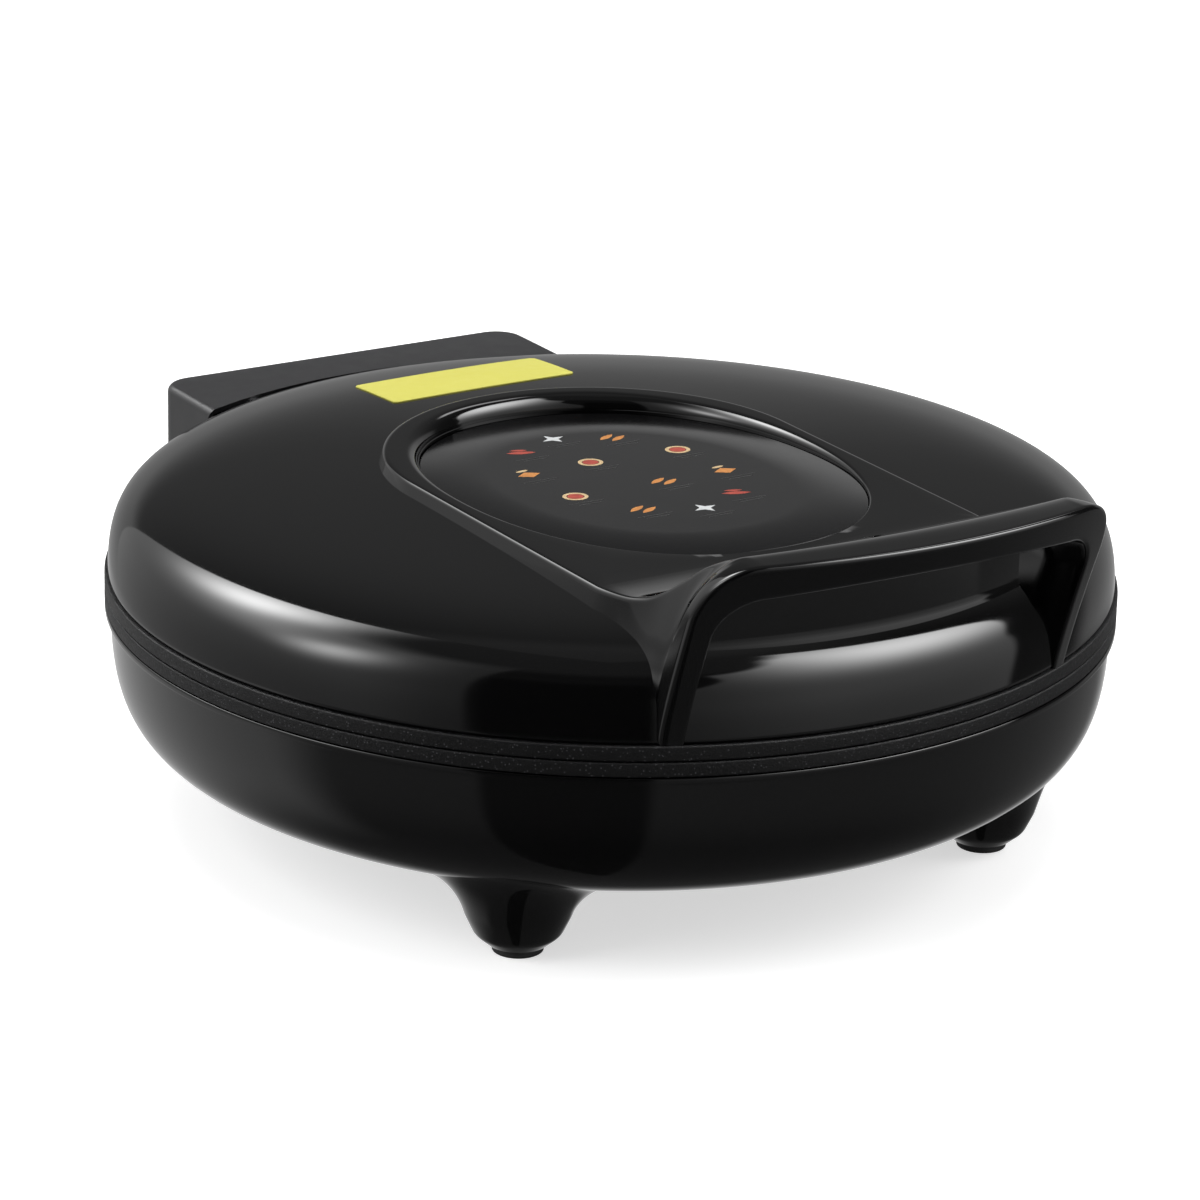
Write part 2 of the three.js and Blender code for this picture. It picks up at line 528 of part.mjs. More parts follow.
// The opening behind the bar, drawn as the front shows it: half width, and the height of its crown
function portal(halfWidth, place) {
  const round = grip.openingRound;
  const points = [[halfWidth, lid.bottomZ - overrun]];
  for (let i = 0; i <= 4; i += 1) {
    const angle = (Math.PI / 2) * (i / 4);
    points.push([halfWidth - round + round * Math.cos(angle),
      grip.openingZ - round + round * Math.sin(angle)]);
  }
  for (const share of [0.5, 0]) {
    points.push([(halfWidth - round) * share, grip.openingZ + grip.openingBow * (1 - share ** 2)]);
  }
  const right = points.map(([x, z]) => [x, place(x, z), z]);
  const left = right.slice(0, -1).map(([x, y, z]) => [-x, y, z]).reverse();
  return [...right, ...left];
}
function fingerSpace() {
  const rootY = gripRootY - overrun;
  const face = (x, z) => -Math.sqrt(frontRadius(z) ** 2 - x ** 2);
  const outside = portal(grip.halfOpening, () => -frontTop - 2 * overrun);
  const mouth = portal(grip.halfOpening, face);
  const throat = portal(grip.halfThroat, (x, z) => face(x, z) + grip.flareDepth);
  const deep = portal(grip.halfThroat, () => -rootY);
  const hollow = loft([outside, mouth, throat, deep], [0, 2]);
  const ceiling = stations.filter((s) => s.y < -rootY).map((s) => [s.y, s.top[1] - frame.skin]);
  const lowZ = lid.bottomZ - 2 * overrun;
  const farY = ceiling[ceiling.length - 1][0] - frontFoot;
  const under = sheet(outline([...ceiling, [farY, grip.topZ], [farY, lowZ], [ceiling[0][0], lowZ]]),
    2 * grip.halfOuter, 0);
  return hollow.intersect(under).subtract(fingerWall());
}
// The wall behind the fingers, with the cove at its foot
function fingerWall() {
  const reach = lid.radius - grip.wallInset;
  const footReach = reach + grip.coveSpread;
  const footZ = lidHeight(footReach);
  const cove = [[1, 0], [0.52, 0.2], [0.2, 0.5], [0.04, 0.8], [0, 1]]
    .map(([out, up]) => [reach + out * grip.coveSpread, footZ + up * grip.coveRise]);
  const [inside, high] = [reach - grip.wall, grip.topZ + overrun];
  return revolve([[inside, lid.bottomZ], [footReach, lid.bottomZ], ...cove, [reach, high], [inside, high]],
    coneFacets);
}
function handleFrame() {
  const highZ = frame.topZ;
  const rim = loft([rimPlan(frame.draft, lid.bottomZ + frame.draft),
    rimPlan(frame.draft, lid.topZ - frame.draft), rimPlan(0, highZ)], [0, 1]);
  const gripBody = loft(stations.map(gripSection), [0, 2]).intersect(frontCone());
  const lidBelow = lidBody(lid.radius + gap, lid.bottomZ - overrun);
  let body = rim.add(gripBody).subtract(fingerSpace()).subtract(lidBelow);
  const wall = oval(tray.wall, trayUnder);
  body = body.add(loft([wall, wall.map(([x, y]) => [x, y, highZ - frame.lap])], [0, 1]));
  const depth = (y) => Math.max(0, highZ - panelZ(y));
  const seat = oval(gap, (y) => panelZ(y) - panel.thickness - gap);
  const sill = oval(gap, (y) => panelZ(y) + Math.min(tray.sillHeight, depth(y) / 3));
  const brim = oval((y) => gap + tray.slopeShare * depth(y), (y) => Math.max(highZ, panelZ(y)) + weld);
  const above = brim.map(([x, y, z]) => [x, y, z + overrun]);
  body = body.subtract(loft([seat, sill, brim, above], [0, 1]));
  for (const [, x, y] of lidPosts) {
    const seatZ = trayUnder(y) + tray.floor - lidScrew.headHeight - gap * 2;
    body = body.subtract(cylinder(screw.shank + gap, seatZ - tray.floor * 2, seatZ + overrun, x, y));
    body = body.subtract(cylinder(lidScrew.headRadius + gap, seatZ, seatZ + tray.floor, x, y));
  }
  return body;
}
function panelBody() {
  const top = oval(0, panelZ);
  return loft([top.map(([x, y, z]) => [x, y, z - panel.thickness]), top], [0, 1]);
}
function stickerBody() {
  const columns = 8;
  const turn = sticker.turnDeg * deg;
  const ring = (v, lift) => Array.from({ length: columns + 1 }, (_, i) => {
    const u = (i / columns - 0.5) * sticker.width;
    const x = sticker.x + u * Math.cos(turn) - v * Math.sin(turn);
    const y = lid.radius - sticker.inset + u * Math.sin(turn) + v * Math.cos(turn);
    return [x, y, lidHeight(Math.hypot(x, y)) + gap + lift];
  });
  const rows = [-0.5, -0.25, 0, 0.25, 0.5].map((share) => share * sticker.depth);
  return loft(rows.map((v) => [...ring(v, 0), ...ring(v, sticker.thickness).reverse()]), [0, 2]);
}
function buildLid(parent) {
  add('lid_shell', lidShell(), gloss, parent);
  add('handle_frame', handleFrame(), gloss, parent);
  add('guide_panel', panelBody(), printed, parent);
  add('blank_sticker', stickerBody(), yellow, parent);
  for (const [where, x, y] of lidPosts) {
    const seatZ = trayUnder(y) + tray.floor - lidScrew.headHeight - gap;
    const turned = screwSolid(seatZ - upperBackZ - gap, lidScrew.headRadius, lidScrew.headHeight - gap);
    const mesh = add(`lid_screw_${where}`, turned, steel, parent);
    mesh.position.set(x, y, seatZ + lidScrew.headHeight - gap);
    mesh.rotation.x = Math.PI;
  }
}

// Rear box and hinge
function boxPlan(halfWidth, frontY, rearY, corner) {
  const shape = new THREE.Shape();
  shape.moveTo(-halfWidth, frontY);
  shape.lineTo(halfWidth, frontY);
  shape.lineTo(halfWidth, rearY - corner);
  shape.absarc(halfWidth - corner, rearY - corner, corner, 0, Math.PI / 2);
  shape.lineTo(-halfWidth + corner, rearY);
  shape.absarc(-halfWidth + corner, rearY - corner, corner, Math.PI / 2, Math.PI);
  return shape;
}
function boxSolid(inset, frontY, rearY, lowZ, highZ) {
  const plan = boxPlan(box.halfWidth - inset, frontY, rearY - inset, box.corner - inset);
  const geometry = prism(plan, highZ - lowZ, cornerSteps);
  geometry.translate(0, 0, lowZ);
  return solid(geometry);
}
function hingeCover() {
  const frontY = box.halfWidth;
  const outer = boxSolid(0, frontY, backY, coverLowZ, box.topZ - box.edge)
    .add(boxSolid(box.edge, frontY, backY, box.topZ - box.edge * 2, box.topZ));
  const inner = boxSolid(box.wall, frontY - overrun, backY, coverLowZ - overrun, box.topZ - box.wall);
  return outer.subtract(inner).subtract(lidBody(lid.radius + box.baseClear, coverLowZ - overrun));
}
function hingeHousing() {
  const frontY = box.halfWidth;
  const outer = boxSolid(0, frontY, housingBackY, housing.bottomZ, housingTopZ);
  const inner = boxSolid(housing.wall, frontY - overrun, housingBackY, housing.bottomZ + housing.wall,
    housingTopZ + overrun);
  const baseBody = revolve([...baseProfile(0, base.rimZ).map(([r, z]) => [r > 0 ? r + gap : 0, z - gap]),
    [lipRadius + gap, base.rimZ - base.lipHeight - gap], [lipRadius + gap, base.rimZ + overrun],
    [0, base.rimZ + overrun]]);
  const hole = cylinder(gland.neckRadius + gap, -housing.wall * 2, housing.wall * 2);
  let body = outer.subtract(inner).subtract(baseBody);
  body = body.subtract(hole.rotate([90, 0, 0]).translate([gland.x, housingBackY, gland.z]));
  // The wall is notched for the lower ends of the two arms
  const half = hinge.sheet / 2 + housing.notch;
  const notchZ = hinge.axisZ - hinge.float - eyeRadius - housing.notch;
  for (const side of [-1, 1]) {
    const boreZ = housing.bottomZ + housing.wall / 4;
    body = body.subtract(cylinder(post.bore, boreZ, boreZ + housing.wall, side * bracketHoleX, bracketHoleY));
    const x = side * armX;
    body = body.subtract(cuboid([x - half, axisY, notchZ], [x + half, backY, housingTopZ + overrun]));
  }
  return body;
}
const bracketHoleX = bracketX - hinge.footLength + hinge.holeInset - hinge.sheet;
const bracketHoleY = axisY - (hinge.stemFront + hinge.stemBack) / 2;
function slotShape(lowZ, highZ, radius) {
  const shape = new THREE.Shape();
  shape.moveTo(axisY + radius, lowZ);
  shape.lineTo(axisY + radius, highZ);
  shape.absarc(axisY, highZ, radius, 0, Math.PI);
  shape.lineTo(axisY - radius, lowZ);
  shape.absarc(axisY, lowZ, radius, Math.PI, Math.PI * 2);
  return shape;
}
function bracketBody(side) {
  const x = side * bracketX;
  const floorZ = housing.bottomZ + housing.wall + gap;
  const [frontY, stemY] = [axisY - hinge.stemFront, axisY - hinge.stemBack];
  const half = hinge.sheet / 2;
  const footEnd = x - side * hinge.footLength;
  let body = sheet(slotShape(hinge.axisZ - weld, hinge.axisZ, eyeRadius), hinge.sheet, x, slotSteps);
  body = body.add(cuboid([x - half, frontY, hinge.axisZ - hinge.headDrop],
    [x + half, axisY, hinge.axisZ + eyeRadius - gap]));
  body = body.add(cuboid([x - half, frontY, floorZ], [x + half, stemY, hinge.axisZ]));
  body = body.add(cuboid([Math.min(x, footEnd), frontY, floorZ],
    [Math.max(x, footEnd), stemY, floorZ + hinge.sheet]));
  const pinHole = slotShape(hinge.axisZ - weld, hinge.axisZ, hinge.pinRadius + hinge.running);
  body = body.subtract(sheet(pinHole, hinge.sheet * 2, x, slotSteps));
  return body.subtract(cylinder(post.bore, floorZ - overrun, floorZ + hinge.sheet + overrun,
    side * bracketHoleX, bracketHoleY));
}
function pinBody() {
  const half = bracketX + hinge.sheet / 2 + gap;
  const end = half + hinge.endThick;
  const profile = [[0, -end], [hinge.endRadius, -end], [hinge.endRadius, -half], [hinge.pinRadius, -half],
    [hinge.pinRadius, half], [hinge.endRadius, half], [hinge.endRadius, end], [0, end]];
  return revolve(profile, roundFacets).rotate([0, 90, 0]).translate([0, axisY, hinge.axisZ]);
}
function armBody(side) {
  const x = side * armX;
  const half = hinge.sheet / 2;
  const highZ = hinge.axisZ + arm.topRise;
  const seatZ = upperBackZ + gap;
  const frontY = axisY - arm.reach;
  let body = sheet(slotShape(hinge.axisZ - hinge.float, hinge.axisZ, eyeRadius), hinge.sheet, x, slotSteps);
  body = body.add(cuboid([x - half, axisY - arm.shaftFront, hinge.axisZ],
    [x + half, axisY + eyeRadius - gap, highZ]));
  body = body.add(cuboid([x - half, frontY, seatZ], [x + half, axisY, highZ]));
  const tabEnd = x - side * arm.tabWidth;
  body = body.add(cuboid([Math.min(x, tabEnd), frontY, seatZ], [Math.max(x, tabEnd), frontY + arm.tabLength,
    seatZ + hinge.sheet]));
  const slot = slotShape(hinge.axisZ - hinge.float, hinge.axisZ, hinge.pinRadius + hinge.running);
  body = body.subtract(sheet(slot, hinge.sheet * 2, x, slotSteps));
  return body.subtract(cylinder(post.bore, seatZ - overrun, seatZ + hinge.sheet + overrun,
    x - side * arm.tabWidth / 2, frontY + arm.tabLength / 2));
}
function glandBody() {
  const inside = housing.wall + gap + gland.tail;
  const profile = [[gland.bore, -inside], [gland.neckRadius, -inside], [gland.neckRadius, gap],
    [gland.flangeRadius, gap], [gland.flangeRadius, gap + gland.flange], [gland.bore, gap + gland.flange]];
  return revolve(profile, roundFacets).rotate([-90, 0, 0]).translate([gland.x, housingBackY, gland.z]);
}
function buildHinge(fixed, pinned, moving) {
  add('hinge_housing', hingeHousing(), satin, fixed);
  add('cord_gland', glandBody(), rubber, fixed);
  add('hinge_pin', pinBody(), steel, pinned);
  add('hinge_cover', hingeCover(), satin, moving);
  for (const [where, side] of [['left', -1], ['right', 1]]) {
    add(`hinge_bracket_${where}`, bracketBody(side), steel, fixed);
    const floorZ = housing.bottomZ + housing.wall + gap + hinge.sheet + gap;
    const low = add(`bracket_screw_${where}`, screwSolid(hinge.sheet + housing.wall / 2), steel, fixed);
    low.position.set(side * bracketHoleX, bracketHoleY, floorZ + screw.headHeight);
    low.rotation.x = Math.PI;
    add(`hinge_arm_${where}`, armBody(side), steel, moving);
    const high = add(`arm_screw_${where}`, screwSolid(hinge.sheet + plate.thickness / 2), steel, moving);
    high.position.set(side * (armX - arm.tabWidth / 2), axisY - arm.reach + arm.tabLength / 2,
      upperBackZ + gap + hinge.sheet + gap + screw.headHeight);
    high.rotation.x = Math.PI;
  }
}

const lowerHalf = new THREE.Group();
const pivot = new THREE.Group();
const upperHalf = new THREE.Group();
root.add(lowerHalf, pivot, upperHalf);
buildBase(lowerHalf);
buildLowerWorks(lowerHalf);
buildUpperWorks(upperHalf);
buildLid(upperHalf);
buildHinge(lowerHalf, pivot, upperHalf);

export default root;
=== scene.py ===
"""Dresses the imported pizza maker: fine shells, print, finishes, studio light and camera."""
import json
import math

import bmesh
import bpy
import numpy as np
from mathutils import Matrix, Vector


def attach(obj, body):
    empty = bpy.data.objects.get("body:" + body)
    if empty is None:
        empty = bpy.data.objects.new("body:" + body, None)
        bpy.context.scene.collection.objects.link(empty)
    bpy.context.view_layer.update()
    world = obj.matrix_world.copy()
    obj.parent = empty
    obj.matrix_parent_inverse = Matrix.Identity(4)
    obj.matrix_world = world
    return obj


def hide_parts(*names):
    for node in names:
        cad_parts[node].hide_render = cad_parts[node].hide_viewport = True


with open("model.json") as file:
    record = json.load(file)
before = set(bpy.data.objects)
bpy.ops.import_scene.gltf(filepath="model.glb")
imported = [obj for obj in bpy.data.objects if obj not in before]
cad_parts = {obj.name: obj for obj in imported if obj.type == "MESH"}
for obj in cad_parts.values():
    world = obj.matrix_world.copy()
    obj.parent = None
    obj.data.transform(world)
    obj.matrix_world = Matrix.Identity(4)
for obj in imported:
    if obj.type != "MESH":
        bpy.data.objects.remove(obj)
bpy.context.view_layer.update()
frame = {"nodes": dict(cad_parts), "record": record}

MM = 0.001

# Sizes in millimetres, and turns in degrees
OVERRUN = 2  # how far a cutter passes what it cuts
LID = dict(radius=170, bottom=87.3, bulge=45, rise=73.7, crown=3.4, crown_reach=150, radial=8.97,
           height=8.63, wall=2.8, edge=0.9)
BASE = dict(radius=169.1, floor=23.4, rim=76.4, bulge=100, flat=60, power=5.08, wall=2.8,
            lip=170.85, lip_height=2.2, lip_turn=0.4, edge=0.5, fine_from=118, side_from=158)
FOOT = dict(x=91.3, y=93.9, tip=3.2, tip_radius=10.2, chamfer=6.9, chamfer_radius=14.5, neck=13.7,
            neck_radius=17.6, turn=1.6, inward=36, outward=29.5, run=7.0, lean=0.27, lift=2.0,
            lift_share=0.45, run_share=0.9, sunk=0.25, well_gap=0.4, well_depth=0.6)
PLATE = dict(rim=170.85, rim_inner=160, cook=152, thickness=3, depth=9.6, lower_low=76.7,
             lower_top=81.6, upper_low=82.0, upper_top=87.0, edge=0.7, back_slope=1.5, back_turn=2,
             rim_turn=1.5, brim_turn=1.2, cook_turn=4, middle=60)
PANEL = dict(half_width=66.5, half_length=87, centre=-17.5, z=121.6, tilt=2.2, power=2.15,
             thickness=1.2, edge=0.3)
DISH = dict(gap=0.3, slope=0.94, sill=1.1, sill_share=0.25, step=0.5, step_share=0.125, brim=0.05,
            floor=3.4)
# sink is how deep the moulding ends in the lid; stop, brink and shy keep it clear of the lid's edge
RIM = dict(half_width=73.8, top=124.8, rear=7.4, edge=1.6, sink=1.4, stop=0.1, brink=0.4, shy=1,
           flare=1.6)
GRIP = dict(root=-108, bend=-150, reach=32.3, bow=0.8, foot=171, lean=21.45, foot_z=87.3,
            lean_height=64.7, lean_power=1.15, skin=3.6, opening=70, throat=64, flare=14,
            opening_round=14, opening_top=139.6, opening_bow=3.2, edge=2.6, inner_edge=2.0,
            edge_share=0.45, inner_share=0.3, full_rise=27, softness=2.0)
WALL = dict(reach=156.5, spread=1.2, rise=2.0, power=2.3)
PAD = dict(radius=8.4, height=3.75, squareness=9.0, around=65, rows=33)
SCREW = dict(reach=120, z=24.3, head=3.8, head_height=2.4, shank=2.0, length=38.0, slot=0.9,
             slot_depth=1.3, slot_share=1.1, seat_share=0.9, squareness=5.0, shank_squareness=12.0,
             around=33, rows=17, shank_around=17, shank_rows=9)
BOX = dict(half_width=73.4, front=73.4, rear=193, corner=11, wall=2.5, cover_low=77, cover_top=109.5,
           cover_edge=2.6, housing_low=34, housing_top=72.62, housing_rear=190.2, housing_edge=3.2,
           lid_clear=3.0, base_clear=0.3, arm_x=47.8, arm_half=2.05, notch_low=70.05, arm_y=184.8,
           gland_x=-40, gland_z=53, gland_hole=6.3, top_edge=0.4, filler_low=74, filler_gap=1,
           filler_flat=150, filler_end=0.02, lip_clear=0.3, body_top=80)
STICKER = dict(width=75, depth=28, x=10.0, y=116.2, turn=1.5, thickness=0.35, lift=0.05, corner=1.2,
               rows=25, columns=61)
PRINT = dict(lift=0.03, sunk=0.1, middle=(1.0, -7.0), reach=(31.0, 48.0), size=1.2, first=18, turn=36,
             inner=((-4, 17), (5, -15)), bars=((7.4, 6.6), (9.4, 4.6)), bar_half=0.3)
PANEL_CUT = dict(grow=3.4, above_edge=3, above_rim=10)
REAR_CUT = ((-60, 110, 89.5), (60, 200, 106))


# Shapes that several pieces share
def lid_height(r, inset=0.0):
    r = np.asarray(r, float)
    share = np.clip(r / (LID["radius"] - inset), 0, 1)
    arch = (1 - share ** LID["radial"]) ** (1 / LID["height"])
    crown = np.clip(1 - (r / LID["crown_reach"]) ** 2, 0, None) ** 2
    return LID["bulge"] + (LID["rise"] - inset) * arch + LID["crown"] * crown


WALL_FOOT = float(lid_height(WALL["reach"] + WALL["spread"]))


def base_height(r, inset=0.0):
    width = BASE["radius"] - BASE["flat"] - inset
    share = np.clip((np.asarray(r, float) - BASE["flat"]) / width, 0, 1)
    depth = BASE["bulge"] - BASE["floor"] - inset
    return BASE["bulge"] - depth * (1 - share ** BASE["power"]) ** (1 / BASE["power"])


def base_radius(z, inset=0.0):
    depth = BASE["bulge"] - BASE["floor"] - inset
    share = np.clip((BASE["bulge"] - np.asarray(z, float)) / depth, 0, 1)
    width = BASE["radius"] - BASE["flat"] - inset
    return BASE["flat"] + width * (1 - share ** BASE["power"]) ** (1 / BASE["power"])


def panel_height(y):
    return PANEL["z"] - (np.asarray(y, float) - PANEL["centre"]) * math.tan(math.radians(PANEL["tilt"]))


def oval_reach(angle, grow=0.0):
    """How far the panel's outline, grown outwards, lies from its middle in one direction."""
    across = np.abs(np.cos(angle) / (PANEL["half_width"] + grow)) ** PANEL["power"]
    along = np.abs(np.sin(angle) / (PANEL["half_length"] + grow)) ** PANEL["power"]
    return (across + along) ** (-1 / PANEL["power"])


def oval_point(angle, grow=0.0):
    reach = oval_reach(angle, grow)
    return reach * np.cos(angle), PANEL["centre"] + reach * np.sin(angle)


def ellipse(x, y, a, b, turn=0.0, count=28):
    angles = np.radians(np.linspace(0, 360, count, endpoint=False))
    c, s = math.cos(math.radians(turn)), math.sin(math.radians(turn))
    return [(x + c * a * math.cos(t) - s * b * math.sin(t), y + s * a * math.cos(t) + c * b * math.sin(t))
            for t in angles]


def monotone(xs, ys, at):
    """A smooth curve through the points that never overshoots them."""
    step = np.diff(xs)
    slope = np.diff(ys) / step
    tangent = np.zeros_like(ys)
    for i in range(1, len(xs) - 1):
        if slope[i - 1] * slope[i] > 0:
            left, right = 2 * step[i] + step[i - 1], step[i] + 2 * step[i - 1]
            tangent[i] = (left + right) / (left / slope[i - 1] + right / slope[i])
    tangent[0], tangent[-1] = slope[0], slope[-1]
    at = np.clip(at, xs[0], xs[-1])
    i = np.clip(np.searchsorted(xs, at, side="right") - 1, 0, len(step) - 1)
    t = (at - xs[i]) / step[i]
    return ((2 * t**3 - 3 * t**2 + 1) * ys[i] + (t**3 - 2 * t**2 + t) * step[i] * tangent[i]
            + (3 * t**2 - 2 * t**3) * ys[i + 1] + (t**3 - t**2) * step[i] * tangent[i + 1])


def curve(start, knee, end, count):
    """Points of the curve from start to end that leaves and arrives along the knee."""
    start, knee, end = (np.asarray(p, float) for p in (start, knee, end))
    t = np.linspace(0, 1, count).reshape(-1, *([1] * start.ndim))
    return start * (1 - t) ** 2 + 2 * knee * t * (1 - t) + end * t**2


def soften(profile, radii, count=6):
    """The profile with a small curve in place of each corner that has a radius."""
    points = []
    for i, here in enumerate(profile):
        if i not in radii:
            points.append(tuple(here))
            continue
        here = np.array(here, float)
        ends = []
        for other in (profile[i - 1], profile[(i + 1) % len(profile)]):
            way = np.array(other, float) - here
            length = np.linalg.norm(way)
            ends.append(here + way / length * min(radii[i], 0.49 * length))
        points += [tuple(p) for p in curve(ends[0], here, ends[1], count)]
    return points


# Meshes
def outwards(mesh, merge=0.01):
    bm = bmesh.new()
    bm.from_mesh(mesh)
    bmesh.ops.remove_doubles(bm, verts=bm.verts, dist=merge * MM)
    bmesh.ops.dissolve_degenerate(bm, edges=bm.edges, dist=0.002 * MM)
    bmesh.ops.recalc_face_normals(bm, faces=bm.faces)
    bm.to_mesh(mesh)
    bm.free()


def mesh_object(name, verts, faces, merge=0.01):
    """An object with its points given in millimetres, its doubles merged and its faces outwards."""
    mesh = bpy.data.meshes.new(name)
    mesh.from_pydata([tuple(v) for v in np.asarray(verts, float) * MM], [], faces)
    obj = bpy.data.objects.new(name, mesh)
    bpy.context.scene.collection.objects.link(obj)
    outwards(mesh, merge)
    return obj


def place(obj, body, finish, replaces=(), sharp=32):
    """Gives a piece its finish and its body."""
    obj.data.shade_smooth()
    obj.data.set_sharp_from_angle(angle=math.radians(sharp))
    obj.data.materials.clear()
    obj.data.materials.append(FINISH[finish])
    if replaces:
        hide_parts(*replaces)
    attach(obj, body)


def grid_faces(rows, columns, start=0, ring=False):
    faces = []
    for r in range(rows - 1):
        for c in range(columns if ring else columns - 1):
            a, b = start + r * columns + c, start + r * columns + (c + 1) % columns
            faces.append((a, b, b + columns, a + columns))
    return faces


def join_grids(*grids):
    """Grids of points, each with whether its rows close, as one list of points and faces."""
    verts, faces = [], []
    for points, ring in grids:
        points = np.asarray(points, float)
        faces += grid_faces(points.shape[0], points.shape[1], len(verts), ring)
        verts += [tuple(p) for p in points.reshape(-1, 3)]
    return verts, faces


def turned(profile, steps=192):
    """The profile, of radii and heights, turned about the upright axis."""
    angles = np.linspace(0, 2 * math.pi, steps, endpoint=False)
    return [[(r * math.cos(a), r * math.sin(a), z) for a in angles] for r, z in profile]


def subtract(obj, *cutters):
    for cutter in cutters:
        modifier = obj.modifiers.new("cut", "BOOLEAN")
        modifier.operation = "DIFFERENCE"
        modifier.solver = "EXACT"
        modifier.object = cutter
    graph = bpy.context.evaluated_depsgraph_get()
    shaped = bpy.data.meshes.new_from_object(obj.evaluated_get(graph))
    obj.modifiers.clear()
    obj.data = shaped
    for cutter in cutters:
        bpy.data.objects.remove(cutter)


def brick(low, high):
    corners = [(x, y, z) for x in (low[0], high[0]) for y in (low[1], high[1]) for z in (low[2], high[2])]
    faces = [(0, 1, 3, 2), (4, 6, 7, 5), (0, 4, 5, 1), (2, 3, 7, 6), (0, 2, 6, 4), (1, 5, 7, 3)]
    return mesh_object("cutter", corners, faces)


def prism(points, low, high):
    count = len(points)
    verts = [(x, y, low) for x, y in points] + [(x, y, high) for x, y in points]
    ends = [tuple(range(count))[::-1], tuple(range(count, 2 * count))]
    return mesh_object("cutter", verts, grid_faces(2, count, 0, True) + ends)


# Finishes
class Value:
    """A node's socket that takes Python's own signs for sums."""

    def __init__(self, tree, socket):
        self.tree, self.socket = tree, socket

    def sum_node(self, operation, first, second):
        node = self.tree.nodes.new("ShaderNodeMath")
        node.operation = operation
        for target, item in zip(node.inputs, (first, second)):
            if isinstance(item, Value):
                self.tree.links.new(item.socket, target)
            else:
                target.default_value = item
        return Value(self.tree, node.outputs[0])

    def __add__(self, other):
        return self.sum_node("ADD", self, other)

    def __radd__(self, other):
        return self.sum_node("ADD", other, self)

    def __sub__(self, other):
        return self.sum_node("SUBTRACT", self, other)

    def __rsub__(self, other):
        return self.sum_node("SUBTRACT", other, self)

    def __mul__(self, other):
        return self.sum_node("MULTIPLY", self, other)

    def __rmul__(self, other):
        return self.sum_node("MULTIPLY", other, self)

    def __truediv__(self, other):
        return self.sum_node("DIVIDE", self, other)

    def __rtruediv__(self, other):
        return self.sum_node("DIVIDE", other, self)

    def __lt__(self, other):
        return self.sum_node("LESS_THAN", self, other)

    def __gt__(self, other):
        return self.sum_node("GREATER_THAN", self, other)

    def __pow__(self, other):
        return self.sum_node("POWER", self, other)


class Shading:
    """Adds nodes to a material's or the world's tree."""

    def __init__(self, tree):
        self.tree = tree

    def node(self, kind, settings=None, sockets=None, output=0):
        """A node and the value it gives; a list feeds a socket that joins, a tuple asks for more values."""
        node = self.tree.nodes.new(kind)
        for key, item in (settings or {}).items():
            setattr(node, key, item)
        for key, given in (sockets or {}).items():
            for item in given if isinstance(given, list) else [given]:
                if isinstance(item, Value):
                    self.tree.links.new(item.socket, node.inputs[key])
                else:
                    node.inputs[key].default_value = item
        if isinstance(output, tuple):
            return [Value(self.tree, node.outputs[key]) for key in output]
        return Value(self.tree, node.outputs[output])

    def maths(self, operation, *items):
        return self.node("ShaderNodeMath", {"operation": operation}, dict(enumerate(items)))

    def ramp(self, item, start, end):
        """0 at start, 1 at end, with soft ends; start may be the higher."""
        sockets = {"Value": item, "From Min": start, "From Max": end}
        return self.node("ShaderNodeMapRange", {"interpolation_type": "SMOOTHSTEP"}, sockets)

    def blend(self, share, dark, light):
        sockets = {0: share, 6: dark if isinstance(dark, Value) else (*dark, 1),
                   7: light if isinstance(light, Value) else (*light, 1)}
        return self.node("ShaderNodeMix", {"data_type": "RGBA"}, sockets, 2)


